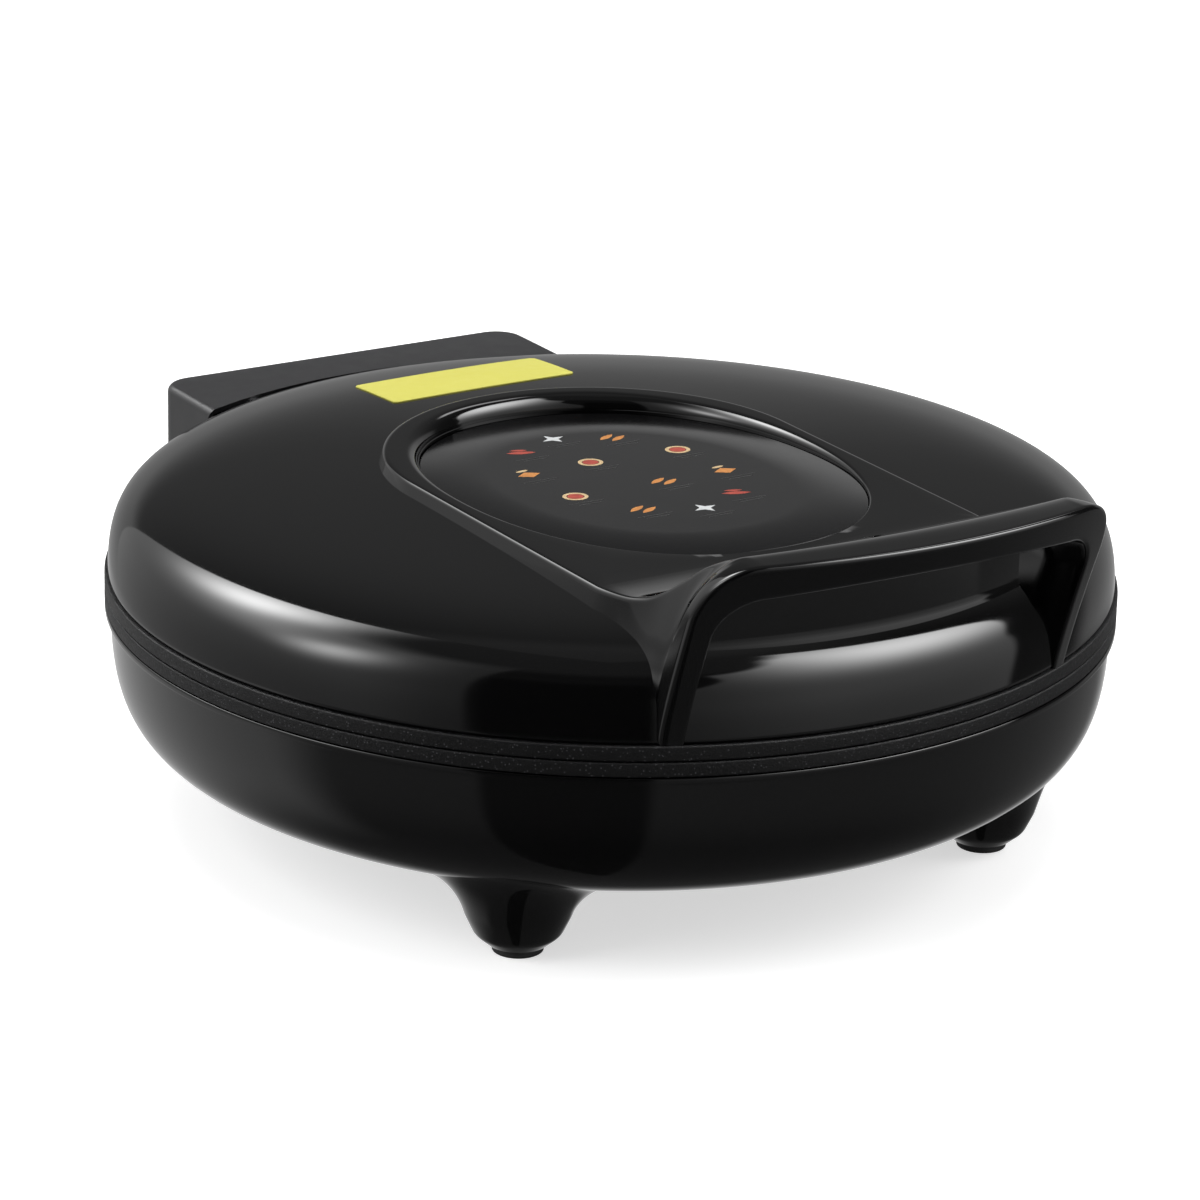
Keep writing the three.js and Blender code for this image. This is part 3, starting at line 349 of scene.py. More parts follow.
class Growth(Shading):
    """A Geometry Nodes tree with named sizes, and the plain mesh that it makes."""

    def __init__(self, name, **sizes):
        super().__init__(bpy.data.node_groups.new(name, "GeometryNodeTree"))
        self.name, self.given = name, {}
        for label, item in dict(sizes, Finish=None).items():
            kind = {int: "Int", float: "Float"}.get(type(item), "Material")
            socket = self.tree.interface.new_socket(name=label, in_out="INPUT",
                                                    socket_type="NodeSocket" + kind)
            self.given[label] = (socket.identifier, item)
        self.tree.interface.new_socket(name="Geometry", in_out="OUTPUT", socket_type="NodeSocketGeometry")
        labels = tuple(self.given)
        self.size = dict(zip(labels, self.node("NodeGroupInput", output=labels)))

    def rolled(self, around, rows, shape):
        """A sheet rolled round the upright axis; shape gives radius and height at a share of its length."""
        counts = {"Size X": 1.0, "Size Y": 1.0, "Vertices X": around, "Vertices Y": rows}
        sheet = self.node("GeometryNodeMeshGrid", None, counts)
        spot = self.node("GeometryNodeInputPosition")
        across, along = self.node("ShaderNodeSeparateXYZ", None, {0: spot}, (0, 1))
        turn = (across + 0.5) * (2 * math.pi)
        radius, height = shape(along + 0.5)
        point = {"X": radius * self.maths("COSINE", turn), "Y": radius * self.maths("SINE", turn),
                 "Z": height}
        sockets = {"Geometry": sheet, "Position": self.node("ShaderNodeCombineXYZ", None, point)}
        moved = self.node("GeometryNodeSetPosition", None, sockets)
        return self.node("GeometryNodeMergeByDistance", None, {"Geometry": moved, "Distance": 0.01 * MM})

    def soft_disc(self, radius, height, squareness, around, rows):
        """A disc on the floor whose edge is rounded, more sharply with more squareness."""
        def shape(share):
            up = self.maths("SINE", (share - 0.5) * math.pi)
            across = self.maths("MAXIMUM", 1 - up * up, 0.0)
            side = self.maths("SIGN", up) * self.maths("ABSOLUTE", up) ** (2 / squareness)
            return radius * across ** (1 / squareness), height * (0.5 + 0.5 * side)
        return self.rolled(around, rows, shape)

    def repeated(self, piece, places):
        """The piece at each point of a mesh."""
        return self.node("GeometryNodeInstanceOnPoints", None, {"Points": places, "Instance": piece})

    def raised(self, geometry, height):
        way = self.node("ShaderNodeCombineXYZ", None, {"Z": height})
        return self.node("GeometryNodeTransform", None, {"Geometry": geometry, "Translation": way})

    def harvest(self, geometry, finish):
        """Ends the tree, runs it and gives the object."""
        real = self.node("GeometryNodeRealizeInstances", None, {"Geometry": geometry})
        coated = self.node("GeometryNodeSetMaterial", None,
                           {"Geometry": real, "Material": self.size["Finish"]})
        self.node("NodeGroupOutput", None, {0: coated}, ())
        obj = bpy.data.objects.new(self.name, bpy.data.meshes.new(self.name))
        bpy.context.scene.collection.objects.link(obj)
        modifier = obj.modifiers.new("growth", "NODES")
        modifier.node_group = self.tree
        for label, (identifier, item) in self.given.items():
            modifier[identifier] = FINISH[finish] if label == "Finish" else item
        bpy.context.view_layer.update()
        grown = obj.evaluated_get(bpy.context.evaluated_depsgraph_get())
        mesh = bpy.data.meshes.new_from_object(grown)
        obj.modifiers.clear()
        obj.data = mesh
        outwards(mesh)
        return obj


class Finish(Shading):
    """One material: its even values are set on the shader, and its varied ones are linked to it."""

    def __init__(self, name, colour, roughness, metallic=0.0):
        self.material = bpy.data.materials.new(name)
        self.material.use_nodes = True
        super().__init__(self.material.node_tree)
        self.shader = self.tree.nodes["Principled BSDF"]
        self.shader.inputs["Base Color"].default_value = (*colour, 1)
        self.shader.inputs["Roughness"].default_value = roughness
        self.shader.inputs["Metallic"].default_value = metallic
        self.place = self.node("ShaderNodeTexCoord", output="Object")

    def drive(self, socket, item):
        self.tree.links.new(item.socket, self.shader.inputs[socket])

    def noise(self, scale, detail=2.0, rough=0.5):
        sockets = {"Vector": self.place, "Scale": scale, "Detail": detail, "Roughness": rough}
        return self.node("ShaderNodeTexNoise", None, sockets, "Fac")

    def cells(self, scale):
        return self.node("ShaderNodeTexVoronoi", None, {"Vector": self.place, "Scale": scale}, "Distance")

    def relief(self, height, depth):
        """Bumps of a depth in metres."""
        self.drive("Normal", self.node("ShaderNodeBump", None, {"Height": height, "Distance": depth}))


def gloss_black():
    f = Finish("gloss_black", (0.0011, 0.0011, 0.0012), 0.06)
    f.drive("Roughness", 0.04 + 0.05 * f.noise(45, 3))
    f.relief(f.noise(120, 2), 0.000006)
    return f.material


def satin_black():
    f = Finish("satin_black", (0.014, 0.014, 0.015), 0.42)
    f.drive("Roughness", 0.34 + 0.14 * f.noise(120, 4))
    f.relief(f.noise(2600, 2), 0.00003)
    return f.material


def non_stick():
    f = Finish("non_stick", (0.006, 0.006, 0.0065), 0.5)
    f.shader.inputs["Specular IOR Level"].default_value = 0.3
    specks = f.cells(760) < 0.18
    f.drive("Base Color", f.blend(specks, (0.003, 0.003, 0.0033), (0.036, 0.036, 0.039)))
    f.drive("Roughness", 0.38 + 0.28 * f.noise(900, 3))
    f.relief(f.noise(1400, 3, 0.65), 0.0002)
    return f.material


def panel_print():
    f = Finish("panel_print", (0.004, 0.004, 0.0043), 0.2)
    f.drive("Roughness", 0.13 + 0.08 * f.noise(60, 3))
    f.relief(f.noise(240, 2), 0.000006)
    return f.material


def pad_rubber():
    f = Finish("pad_rubber", (0.016, 0.016, 0.016), 0.75)
    f.drive("Roughness", 0.62 + 0.25 * f.noise(300, 3))
    f.relief(f.noise(1800, 3), 0.00006)
    return f.material


def metal(name, dark, light, rough, grain):
    f = Finish(name, light, rough, 1.0)
    f.drive("Base Color", f.blend(f.noise(80, 4), dark, light))
    f.drive("Roughness", rough - 0.1 + 0.2 * f.noise(grain, 3))
    f.relief(f.noise(grain, 2), 0.00002)
    return f.material


def ceramic():
    f = Finish("ceramic", (0.78, 0.75, 0.68), 0.6)
    f.drive("Base Color", f.blend(f.noise(120, 4), (0.70, 0.67, 0.60), (0.83, 0.80, 0.73)))
    f.drive("Roughness", 0.5 + 0.2 * f.noise(400, 3))
    f.relief(f.noise(1500, 2), 0.00004)
    return f.material


def sticker_yellow():
    f = Finish("sticker_yellow", (0.58, 0.55, 0.10), 0.45)
    f.drive("Base Color", f.blend(f.noise(30, 3), (0.56, 0.53, 0.09), (0.60, 0.57, 0.12)))
    f.drive("Roughness", 0.3 + 0.2 * f.noise(260, 3))
    f.relief(f.noise(500, 2), 0.00001)
    return f.material


def print_ink(name, dark, light):
    """A printed colour, a little uneven as screen print is."""
    f = Finish(name, light, 0.3)
    f.drive("Base Color", f.blend(f.noise(420, 3, 0.6), dark, light))
    f.drive("Roughness", 0.26 + 0.12 * f.noise(200, 2))
    return f.material


FINISH = {
    "gloss_black": gloss_black(),
    "satin_black": satin_black(),
    "non_stick": non_stick(),
    "panel_print": panel_print(),
    "pad_rubber": pad_rubber(),
    "fixing_steel": metal("fixing_steel", (0.38, 0.39, 0.40), (0.55, 0.56, 0.57), 0.34, 900),
    "aluminised": metal("aluminised", (0.50, 0.51, 0.52), (0.64, 0.65, 0.66), 0.42, 400),
    "heater_sheath": metal("heater_sheath", (0.10, 0.10, 0.11), (0.22, 0.21, 0.20), 0.5, 600),
    "ceramic": ceramic(),
    "sticker_yellow": sticker_yellow(),
    "ink_orange": print_ink("ink_orange", (0.36, 0.11, 0.02), (0.66, 0.30, 0.08)),
    "ink_red": print_ink("ink_red", (0.24, 0.02, 0.015), (0.46, 0.08, 0.05)),
    "ink_cream": print_ink("ink_cream", (0.42, 0.28, 0.13), (0.68, 0.52, 0.30)),
    "ink_white": print_ink("ink_white", (0.46, 0.47, 0.47), (0.66, 0.68, 0.69)),
    "ink_grey": print_ink("ink_grey", (0.014, 0.014, 0.014), (0.03, 0.03, 0.03)),
}


def finish_cad_nodes():
    for part in frame["record"]["subparts"]:
        data = frame["nodes"][part["node"]].data
        data.materials.clear()
        data.materials.append(FINISH[part["material_slot"]])


# Lid
def grow_dome():
    """The dome's outer and inner skins as one rolled sheet: squared sines give its arch."""
    g = Growth("lid_dome", **{
        "Radius": LID["radius"] * MM, "Bulge": LID["bulge"] * MM, "Rise": LID["rise"] * MM,
        "Crown": LID["crown"] * MM, "Crown reach": LID["crown_reach"] * MM, "Radial power": LID["radial"],
        "Height power": LID["height"], "Bottom": LID["bottom"] * MM, "Wall": LID["wall"] * MM,
        "Edge": LID["edge"] * MM, "Steps around": 225, "Rows": 199})
    size = g.size

    def shape(share):
        inside = share > 0.5
        along = 2 * share - 2 * inside * (2 * share - 1)
        inset = inside * size["Wall"]
        rise = size["Rise"] - inset
        low_arch = (size["Bottom"] - size["Bulge"]) / rise
        last = g.maths("ARCCOSINE", low_arch ** (size["Height power"] / 2))
        swing = last * (1 - (1 - along) ** 2) ** 4
        reach = (size["Radius"] - inset) * g.maths("SINE", swing) ** (2 / size["Radial power"])
        arch = g.maths("COSINE", swing) ** (2 / size["Height power"])
        crown = g.maths("MAXIMUM", 1 - (reach / size["Crown reach"]) ** 2, 0.0) ** 2
        height = size["Bulge"] + rise * arch + size["Crown"] * crown
        below = g.maths("MAXIMUM", size["Bottom"] + size["Edge"] - height, 0.0) / size["Edge"]
        tuck = size["Edge"] * (1 - g.maths("SQRT", g.maths("MAXIMUM", 1 - below * below, 0.0)))
        return reach - (1 - inside) * tuck, height

    return g.harvest(g.rolled(size["Steps around"], size["Rows"], shape), "gloss_black")


def make_lid_shell():
    shell = grow_dome()
    angles = np.linspace(0, 2 * math.pi, 96, endpoint=False)
    opening = prism([oval_point(a, PANEL_CUT["grow"]) for a in angles],
                    LID["bottom"] + PANEL_CUT["above_edge"], RIM["top"] + PANEL_CUT["above_rim"])
    subtract(shell, opening, brick(*REAR_CUT))
    place(shell, "lid", "gloss_black", ["lid_shell"])


def make_guide_panel():
    angles = np.linspace(0, 2 * math.pi, 160, endpoint=False)
    edge, thick = PANEL["edge"], PANEL["thickness"]
    turn = edge * 0.3
    levels = [(0, 0, 0), (0.35, 0, 0), (0.7, 0, 0), (1, edge, 0), (1, turn, turn), (1, 0, edge),
              (1, 0, thick), (0.7, 0, thick), (0, 0, thick)]
    rows = []
    for share, inset, drop in levels:
        row = []
        for a in angles:
            reach = oval_reach(a, -inset) * share
            y = PANEL["centre"] + reach * math.sin(a)
            row.append((reach * math.cos(a), y, float(panel_height(y)) - drop))
        rows.append(row)
    disc = mesh_object("panel_disc", *join_grids((rows, True)))
    place(disc, "lid", "panel_print", ["guide_panel"])


# Handle frame: rows of sections from the flat rim, up the apron, over the bar and into the hand space
STATIONS = np.array([
    # y, half width and height of the top edge, half width and height of the side's end, fullness
    (-108.0, 73.80, 124.80, 75.4, 117.6, 0.00),
    (-112.0, 73.60, 125.00, 74.9, 117.7, 0.00),
    (-123.0, 72.90, 126.10, 74.0, 116.5, 0.00),
    (-132.0, 71.00, 128.30, 74.3, 114.6, 0.05),
    (-138.0, 69.00, 131.40, 75.1, 112.0, 0.10),
    (-145.4, 67.00, 136.80, 76.6, 107.0, 0.16),
    (-153.0, 65.00, 142.60, 77.4, 104.0, 0.22),
    (-161.1, 63.00, 147.20, 77.6, 112.6, 0.32),
    (-167.0, 62.00, 150.00, 77.6, 121.5, 0.46),
    (-169.2, 61.70, 151.05, 77.6, 125.0, 0.54),
    (-170.0, 61.60, 151.30, 77.6, 126.2, 0.56),
    (-174.0, 61.10, 151.62, 77.6, 131.0, 0.70),
    (-182.3, 61.00, 151.85, 77.6, 134.0, 0.80),
])[::-1]
FOOTING = 0.5  # rows that end below this height above the lid's edge are the leg's underside
TOP_COUNT, BEND_COUNT, SIDE_COUNT, WALL_COUNT = 25, 9, 20, 15
APRON_ROWS, SKIN_ROWS, FINE_ROWS, FACE_ROWS, ROOM_ROWS = 36, 42, 130, 8, 22


def station(y):
    return [float(monotone(STATIONS[:, 0], STATIONS[:, k], y)) for k in range(1, 6)]


def wall_end(x, y):
    """Where a wall that stands on the lid ends: inside its skin, or at its lower edge in front of it."""
    reach = math.hypot(x, y)
    low = LID["bottom"] + RIM["stop"]
    return low if reach > LID["radius"] - RIM["brink"] else max(float(lid_height(reach)) - RIM["sink"], low)


def half_section(y):
    """Half widths and heights from the middle over the top edge and down the side."""
    top_x, top_z, side_x, side_z, full = station(y)
    rise = np.clip((top_z - RIM["top"]) / GRIP["full_rise"], 0, 1)
    crease = RIM["edge"] + (GRIP["edge"] - RIM["edge"]) * rise
    shares = np.linspace(0, 1, TOP_COUNT)[:, None]
    top = np.hstack([shares * (top_x - crease), top_z + GRIP["bow"] * rise * (1 - shares**2)])
    middle = np.array([top_x + side_x, top_z + side_z]) / 2
    knee = middle + full * (np.array([side_x, top_z]) - middle)
    side = curve((top_x, top_z), knee, (side_x, side_z), 3 * SIDE_COUNT + 1)
    run = np.concatenate([[0], np.linalg.norm(np.diff(side, axis=0), axis=1).cumsum()])
    at = np.linspace(min(crease, GRIP["inner_share"] * run[-1]), run[-1], SIDE_COUNT)
    kept = np.column_stack([np.interp(at, run, side[:, k]) for k in (0, 1)])
    bend = curve(top[-1], (top_x, top_z), kept[0], BEND_COUNT)
    end = min(wall_end(side_x, y), side_z)
    wall = np.column_stack([np.full(WALL_COUNT, side_x), np.linspace(side_z, end, WALL_COUNT)])
    return np.vstack([top[:-1], bend[:-1], kept[:-1], wall])


def front_y(x, z):
    share = np.clip((np.asarray(z, float) - GRIP["foot_z"]) / GRIP["lean_height"], 0, None)
    radius = GRIP["foot"] + GRIP["lean"] * share ** GRIP["lean_power"]
    return -np.sqrt(radius**2 - np.asarray(x, float) ** 2)


def opening_half():
    """The hand space's outline at the front, in step with half_section, as half widths and heights."""
    half, turn, high = GRIP["opening"], GRIP["opening_round"], GRIP["opening_top"]
    shares = np.linspace(0, 1, TOP_COUNT)[:, None]
    top = np.hstack([shares * (half - turn), high + GRIP["opening_bow"] * (1 - shares**2)])
    angles = np.linspace(math.pi / 2, 0, BEND_COUNT + SIDE_COUNT - 1)[:, None]
    corner = np.array([half - turn, high - turn]) + turn * np.hstack([np.cos(angles), np.sin(angles)])
    heights = np.linspace(high - turn, LID["bottom"] + RIM["stop"], WALL_COUNT)
    return np.vstack([top[:-1], corner[:-1], np.column_stack([np.full(WALL_COUNT, half), heights])])


def apron_rows():
    rows = []
    for y in np.linspace(GRIP["root"], GRIP["bend"], APRON_ROWS):
        section = half_section(y)
        rows.append(np.column_stack([section[:, 0], np.full(len(section), y), section[:, 1]]))
    return rows


def skin_to_edge():
    """Rows in front of the apron up to the round of the front edge, and that edge's sharp line."""
    fine = []
    for share in np.linspace(0, 1, FINE_ROWS):
        x, z = half_section(GRIP["bend"] - share * GRIP["reach"]).T
        y = GRIP["bend"] + share * (front_y(x, z) - GRIP["bend"])
        fine.append(np.column_stack([x, y, z]))
    fine = np.array(fine)
    steps = np.linalg.norm(np.diff(fine, axis=0), axis=2).cumsum(axis=0)
    run = np.vstack([np.zeros((1, fine.shape[1])), steps])
    rows = np.zeros((SKIN_ROWS, fine.shape[1], 3))
    turn = np.minimum(GRIP["edge"], GRIP["edge_share"] * run[-1])
    for i in range(fine.shape[1]):
        at = np.linspace(0, run[-1, i] - turn[i], SKIN_ROWS)
        for k in range(3):
            rows[:, i, k] = np.interp(at, run[:, i], fine[:, i, k])
    return list(rows[1:]), fine[-1], turn


def wall_y(x, z):
    """The wall behind the fingers, with the cove at its foot."""
    up = np.clip((z - WALL_FOOT) / WALL["rise"], 0, 1)
    return -math.sqrt((WALL["reach"] + WALL["spread"] * (1 - up) ** WALL["power"]) ** 2 - x * x)


def hand_space_rows(mouth):
    """Rows from the mouth back under the bar to the wall, then down the wall to the lid."""
    rows, ceilings, first = [], {}, GRIP["inner_edge"]

    def under_skin(y, z):
        key = round(y, 1)
        if key not in ceilings:
            ceilings[key] = station(y)[1] - GRIP["skin"]
        soft = GRIP["softness"]
        return -soft * np.logaddexp(-z / soft, -ceilings[key] / soft)

    throat = GRIP["throat"] / GRIP["opening"] - 1
    ends = [wall_y(x * (1 + throat), under_skin(-WALL["reach"], z)) - y for x, y, z in mouth]
    for share in np.concatenate([np.linspace(0, 0.4, BEND_COUNT)[1:], np.linspace(0.4, 1, ROOM_ROWS)[1:]]):
        points = []
        for (x, y, z), room in zip(mouth, ends):
            depth = first + share * (room - first)
            flare = np.clip(depth / GRIP["flare"], 0, 1)
            x, y = x * (1 + flare * flare * (3 - 2 * flare) * throat), y + depth
            reach = math.hypot(x, y)
            z = under_skin(y, z)
            if reach < LID["radius"] - RIM["shy"]:
                z = max(z, float(lid_height(reach)) - RIM["sink"])
            points.append((x, y, z))
        rows.append(np.array(points))
    last = rows[-1]
    for share in np.linspace(0, 1, ROOM_ROWS)[1:]:
        heights = last[:, 2] + share * (np.minimum(WALL_FOOT - RIM["sink"], last[:, 2]) - last[:, 2])
        rows.append(np.array([(x, wall_y(x, z), z) for (x, _, _), z in zip(last, heights)]))
    return rows


def grip_half():
    rows = apron_rows()
    more, edge, turn = skin_to_edge()
    rows += more
    hole = opening_half()
    mouth = np.column_stack([hole[:, 0], front_y(hole[:, 0], hole[:, 1]), hole[:, 1]])
    across = mouth - edge
    width = np.linalg.norm(across, axis=1)
    across /= width[:, None]
    on_face = edge + across * turn[:, None]
    on_face[:, 1] = front_y(on_face[:, 0], on_face[:, 2])
    rows += list(curve(rows[-1], edge, on_face, BEND_COUNT)[1:])
    inner_turn = np.minimum(GRIP["inner_edge"], GRIP["inner_share"] * width)
    stop = mouth - across * inner_turn[:, None]
    for share in np.linspace(0, 1, FACE_ROWS)[1:]:
        point = on_face + share * (stop - on_face)
        point[:, 1] = front_y(point[:, 0], point[:, 2])
        rows.append(point)
    back = mouth + np.array([0, 1, 0]) * inner_turn[:, None]
    rows += list(curve(rows[-1], mouth, back, FACE_ROWS)[1:])
    rows += hand_space_rows(mouth)
    return np.array(rows)


def mirrored(rows):
    """Rows of the right half, with the left half put before them."""
    return np.concatenate([rows[:, :0:-1] * np.array([-1, 1, 1]), rows], axis=1)


def rim_spokes():
    """The flat rim round the panel, as spokes from the dish's floor outwards, and its outer wall."""
    section = half_section(GRIP["root"])
    half, root, rear = RIM["half_width"], GRIP["root"], RIM["rear"]
    front_xs = np.concatenate([-section[TOP_COUNT - 1:0:-1, 0], section[:TOP_COUNT, 0]])
    levels = np.linspace(root, rear, 46)
    arc = [(half * math.cos(a), rear + half * math.sin(a), math.cos(a), math.sin(a))
           for a in np.linspace(0, math.pi, 97)[1:-1]]
    walls = [(half, y, 1, 0) for y in levels] + arc + [(-half, y, -1, 0) for y in levels[::-1]]
    outline = [(x, root) for x in front_xs[:-1]]
    outline += [(x - RIM["edge"] * a, y - RIM["edge"] * b) for x, y, a, b in walls[:-1]]
    spokes = []
    for x, y in outline:
        angle = math.atan2(y - PANEL["centre"], x)
        spoke = []
        for share in (0, 0.4, 0.8):
            reach = oval_reach(angle, DISH["gap"]) * share
            sy = PANEL["centre"] + reach * math.sin(angle)
            spoke.append((reach * math.cos(angle), sy, float(panel_height(sy)) - DISH["floor"]))
        wx, wy = oval_point(angle, DISH["gap"])
        level = float(panel_height(wy))
        depth = max(0.0, RIM["top"] - level)
        sill = np.array((wx, wy, level + min(DISH["sill"], depth * DISH["sill_share"])))
        sx, sy = oval_point(angle, DISH["gap"] + min(DISH["step"], depth * DISH["step_share"]))
        step = np.array((sx, sy, sill[2]))
        bx, by = oval_point(angle, DISH["gap"] + DISH["slope"] * depth)
        brim = np.array((bx, by, max(RIM["top"], level - DISH["brim"])))
        flat = np.array((x, y, RIM["top"]))
        spoke += [(wx, wy, level - DISH["floor"]), tuple(sill)]
        for a in np.linspace(0, math.pi / 2, 12):
            lift = sill[2] + (brim[2] - sill[2]) * math.sin(a)
            spoke.append((*(step + (brim - step) * (1 - math.cos(a)))[:2], lift))
        spoke += [tuple(brim + share * (flat - brim)) for share in (0.33, 0.67, 1.0)]
        spokes.append(spoke)
    spokes.append(spokes[0])
    columns, out = [], RIM["flare"]
    for x, y, a, b in walls:
        stretch = (RIM["top"] - wall_end(x + out * a, y + out * b)) / (RIM["top"] - section[-1, 1])
        columns.append([(x + (px - half) * a, y + (px - half) * b, RIM["top"] - (RIM["top"] - pz) * stretch)
                        for px, pz in section[TOP_COUNT - 1:]])
    return spokes, columns


def make_handle_frame():
    grip = mirrored(grip_half())
    spokes, walls = rim_spokes()
    verts, faces = join_grids((grip, False), (spokes, False), (walls, False))
    columns = grip.shape[1]
    for last in (0, columns - 1):
        ring = [r * columns + last for r in range(len(grip)) if grip[r, last, 2] < LID["bottom"] + FOOTING]
        faces.append(tuple(ring))
    handle = mesh_object("handle_moulding", verts, faces, 0.02)
    # Kept out of mirror rays, so that the dome under the bar mirrors the studio's bright panel
    handle.visible_glossy = False
    place(handle, "lid", "gloss_black", ["handle_frame"], sharp=40)


# Base
def base_profile(inset):
    flat, fine, side = BASE["flat"], BASE["fine_from"], BASE["side_from"]
    reaches = np.concatenate([[0, flat / 3, flat * 2 / 3], np.linspace(flat, fine, 14)[:-1],
                              np.linspace(fine, side, 22)[:-1]])
    points = [(r, float(base_height(r, inset))) for r in reaches]
    for z in np.linspace(float(base_height(side, inset)), BASE["rim"], 22):
        points.append((float(base_radius(z, inset)), z))
    return points


def make_base_shell():
    low = BASE["rim"] - BASE["lip_height"]
    edge = BASE["edge"]
    outer = [p for p in base_profile(0) if p[1] < low - 1.2 * edge]
    side = float(base_radius(low))
    lip = soften([(side, low - edge), (side, low), (BASE["lip"], low), (BASE["lip"], BASE["rim"]),
                  (BASE["radius"] - BASE["wall"], BASE["rim"])], {1: BASE["lip_turn"], 2: edge, 3: edge})
    inner = base_profile(BASE["wall"])[::-1][1:]
    shell = mesh_object("base_bowl", *join_grids((turned(outer + lip + inner, 224), True)))
    place(shell, "base", "gloss_black", ["base_shell"])


def bowl_height(x, y):
    """The height of the bowl's skin, a little inside it, where a foot's fillet ends."""
    return float(base_height(min(math.hypot(x, y), BASE["radius"] - BASE["edge"]))) + FOOT["sunk"]


def make_feet():
    """The four moulded feet, which run smoothly into the bowl."""
    grids = []
    side = soften([(FOOT["tip_radius"], FOOT["tip"]), (FOOT["chamfer_radius"], FOOT["chamfer"]),
                   (FOOT["neck_radius"], FOOT["neck"])], {1: FOOT["turn"]})
    well, deep = PAD["radius"] + FOOT["well_gap"], FOOT["tip"] + FOOT["well_depth"]
    sole = [(0, deep), (well, deep), (well, FOOT["tip"])]
    for fx in (-FOOT["x"], FOOT["x"]):
        for fy in (-FOOT["y"], FOOT["y"]):
            rows = []
            for a in np.linspace(0, 2 * math.pi, 72, endpoint=False):
                facing = 0.5 + 0.5 * math.cos(a - math.atan2(fy, fx) - math.pi)
                spread = FOOT["outward"] + (FOOT["inward"] - FOOT["outward"]) * facing
                way = np.array([math.cos(a), math.sin(a)])
                far_z = bowl_height(*((fx, fy) + spread * way))
                near_z = bowl_height(*((fx, fy) + (spread - FOOT["run"]) * way))
                start, end = np.array(side[-1]), np.array([spread, far_z])
                lift = max(FOOT["lift"], FOOT["lift_share"] * (far_z - start[1]))
                first = start + np.array([FOOT["lean"], 1.0]) * lift
                second = end - np.array([FOOT["run"], far_z - near_z]) * FOOT["run_share"]
                t = np.linspace(0, 1, 15)[1:, None]
                fillet = (start * (1 - t) ** 3 + 3 * first * t * (1 - t) ** 2 + 3 * second * t**2 * (1 - t)
                          + end * t**3)
                column = sole + side + [tuple(p) for p in fillet]
                rows.append([(fx + r * way[0], fy + r * way[1], z) for r, z in column])
            rows.append(rows[0])
            grids.append((rows, False))
    feet = mesh_object("base_feet", *join_grids(*grids))
    place(feet, "base", "gloss_black", ["base_shell"])


# Plates
def make_plates():
    for name, sign, low, top in (("lower", 1, PLATE["lower_low"], PLATE["lower_top"]),
                                 ("upper", -1, PLATE["upper_top"], PLATE["upper_low"])):
        cook = top - sign * PLATE["depth"]
        back = cook - sign * PLATE["thickness"]
        side = PLATE["cook"]
        profile = [(0, back), (side - PLATE["back_slope"], back), (PLATE["rim_inner"], low),
                   (PLATE["rim"], low), (PLATE["rim"], top), (PLATE["rim_inner"], top), (side, cook),
                   (PLATE["middle"], cook), (0, cook)]
        profile = soften(profile, {1: PLATE["back_turn"], 2: PLATE["rim_turn"], 3: PLATE["edge"],
                                   4: PLATE["edge"], 5: PLATE["brim_turn"], 6: PLATE["cook_turn"]})
        plate = mesh_object(name + "_pan", *join_grids((turned(profile, 224), True)))
        place(plate, "base" if sign > 0 else "lid", "non_stick", [name + "_plate"])


# Rear box
def dome_filler(grow):
    """A solid that fills the dome and what is below it, grown by a clearance."""
    low, flat, side = BOX["filler_low"], BOX["filler_flat"], LID["radius"] + grow
    reaches = np.concatenate([np.linspace(0, flat, 12),
                              side - np.geomspace(side - flat, BOX["filler_end"], 50)[1:]])
    profile = [(r, float(lid_height(r, -grow))) for r in reaches]
    profile = [p for p in profile if p[1] > low + BOX["filler_gap"]] + [(side, low), (0, low)]
    return mesh_object("cutter", *join_grids((turned(profile, 160), True)))


def box_plan(inset, rear):
    """The box's plan, from its front right corner round the rear to the front left."""
    half, turn = BOX["half_width"] - inset, BOX["corner"] - inset
    right = [(half, BOX["front"] + inset)]
    for a in np.linspace(0, math.pi / 2, 14):
        right.append((half - turn + turn * math.cos(a), rear - inset - turn + turn * math.sin(a)))
    return right + [(-x, y) for x, y in right[::-1]]


def soft_box(low, high, rear, inset=0.0, low_edge=0.0, high_edge=0.0):
    """A closed block on the box's plan, with its lower and upper edges rounded."""
    levels = []
    for level, edge, way in ((low, low_edge, 1), (high, high_edge, -1)):
        turns = np.linspace(0, math.pi / 2, 9) if edge else [math.pi / 2]
        ring = [(inset + edge * (1 - math.sin(a)), level + way * edge * (1 - math.cos(a))) for a in turns]
        levels += ring if way > 0 else ring[::-1]
    rows = [[(x, y, z) for x, y in box_plan(grow, rear)] for grow, z in levels]
    verts, faces = join_grids((rows, True))
    count = len(rows[0])
    faces += [tuple(range(count)), tuple(range(len(verts) - count, len(verts)))]
    return verts, faces


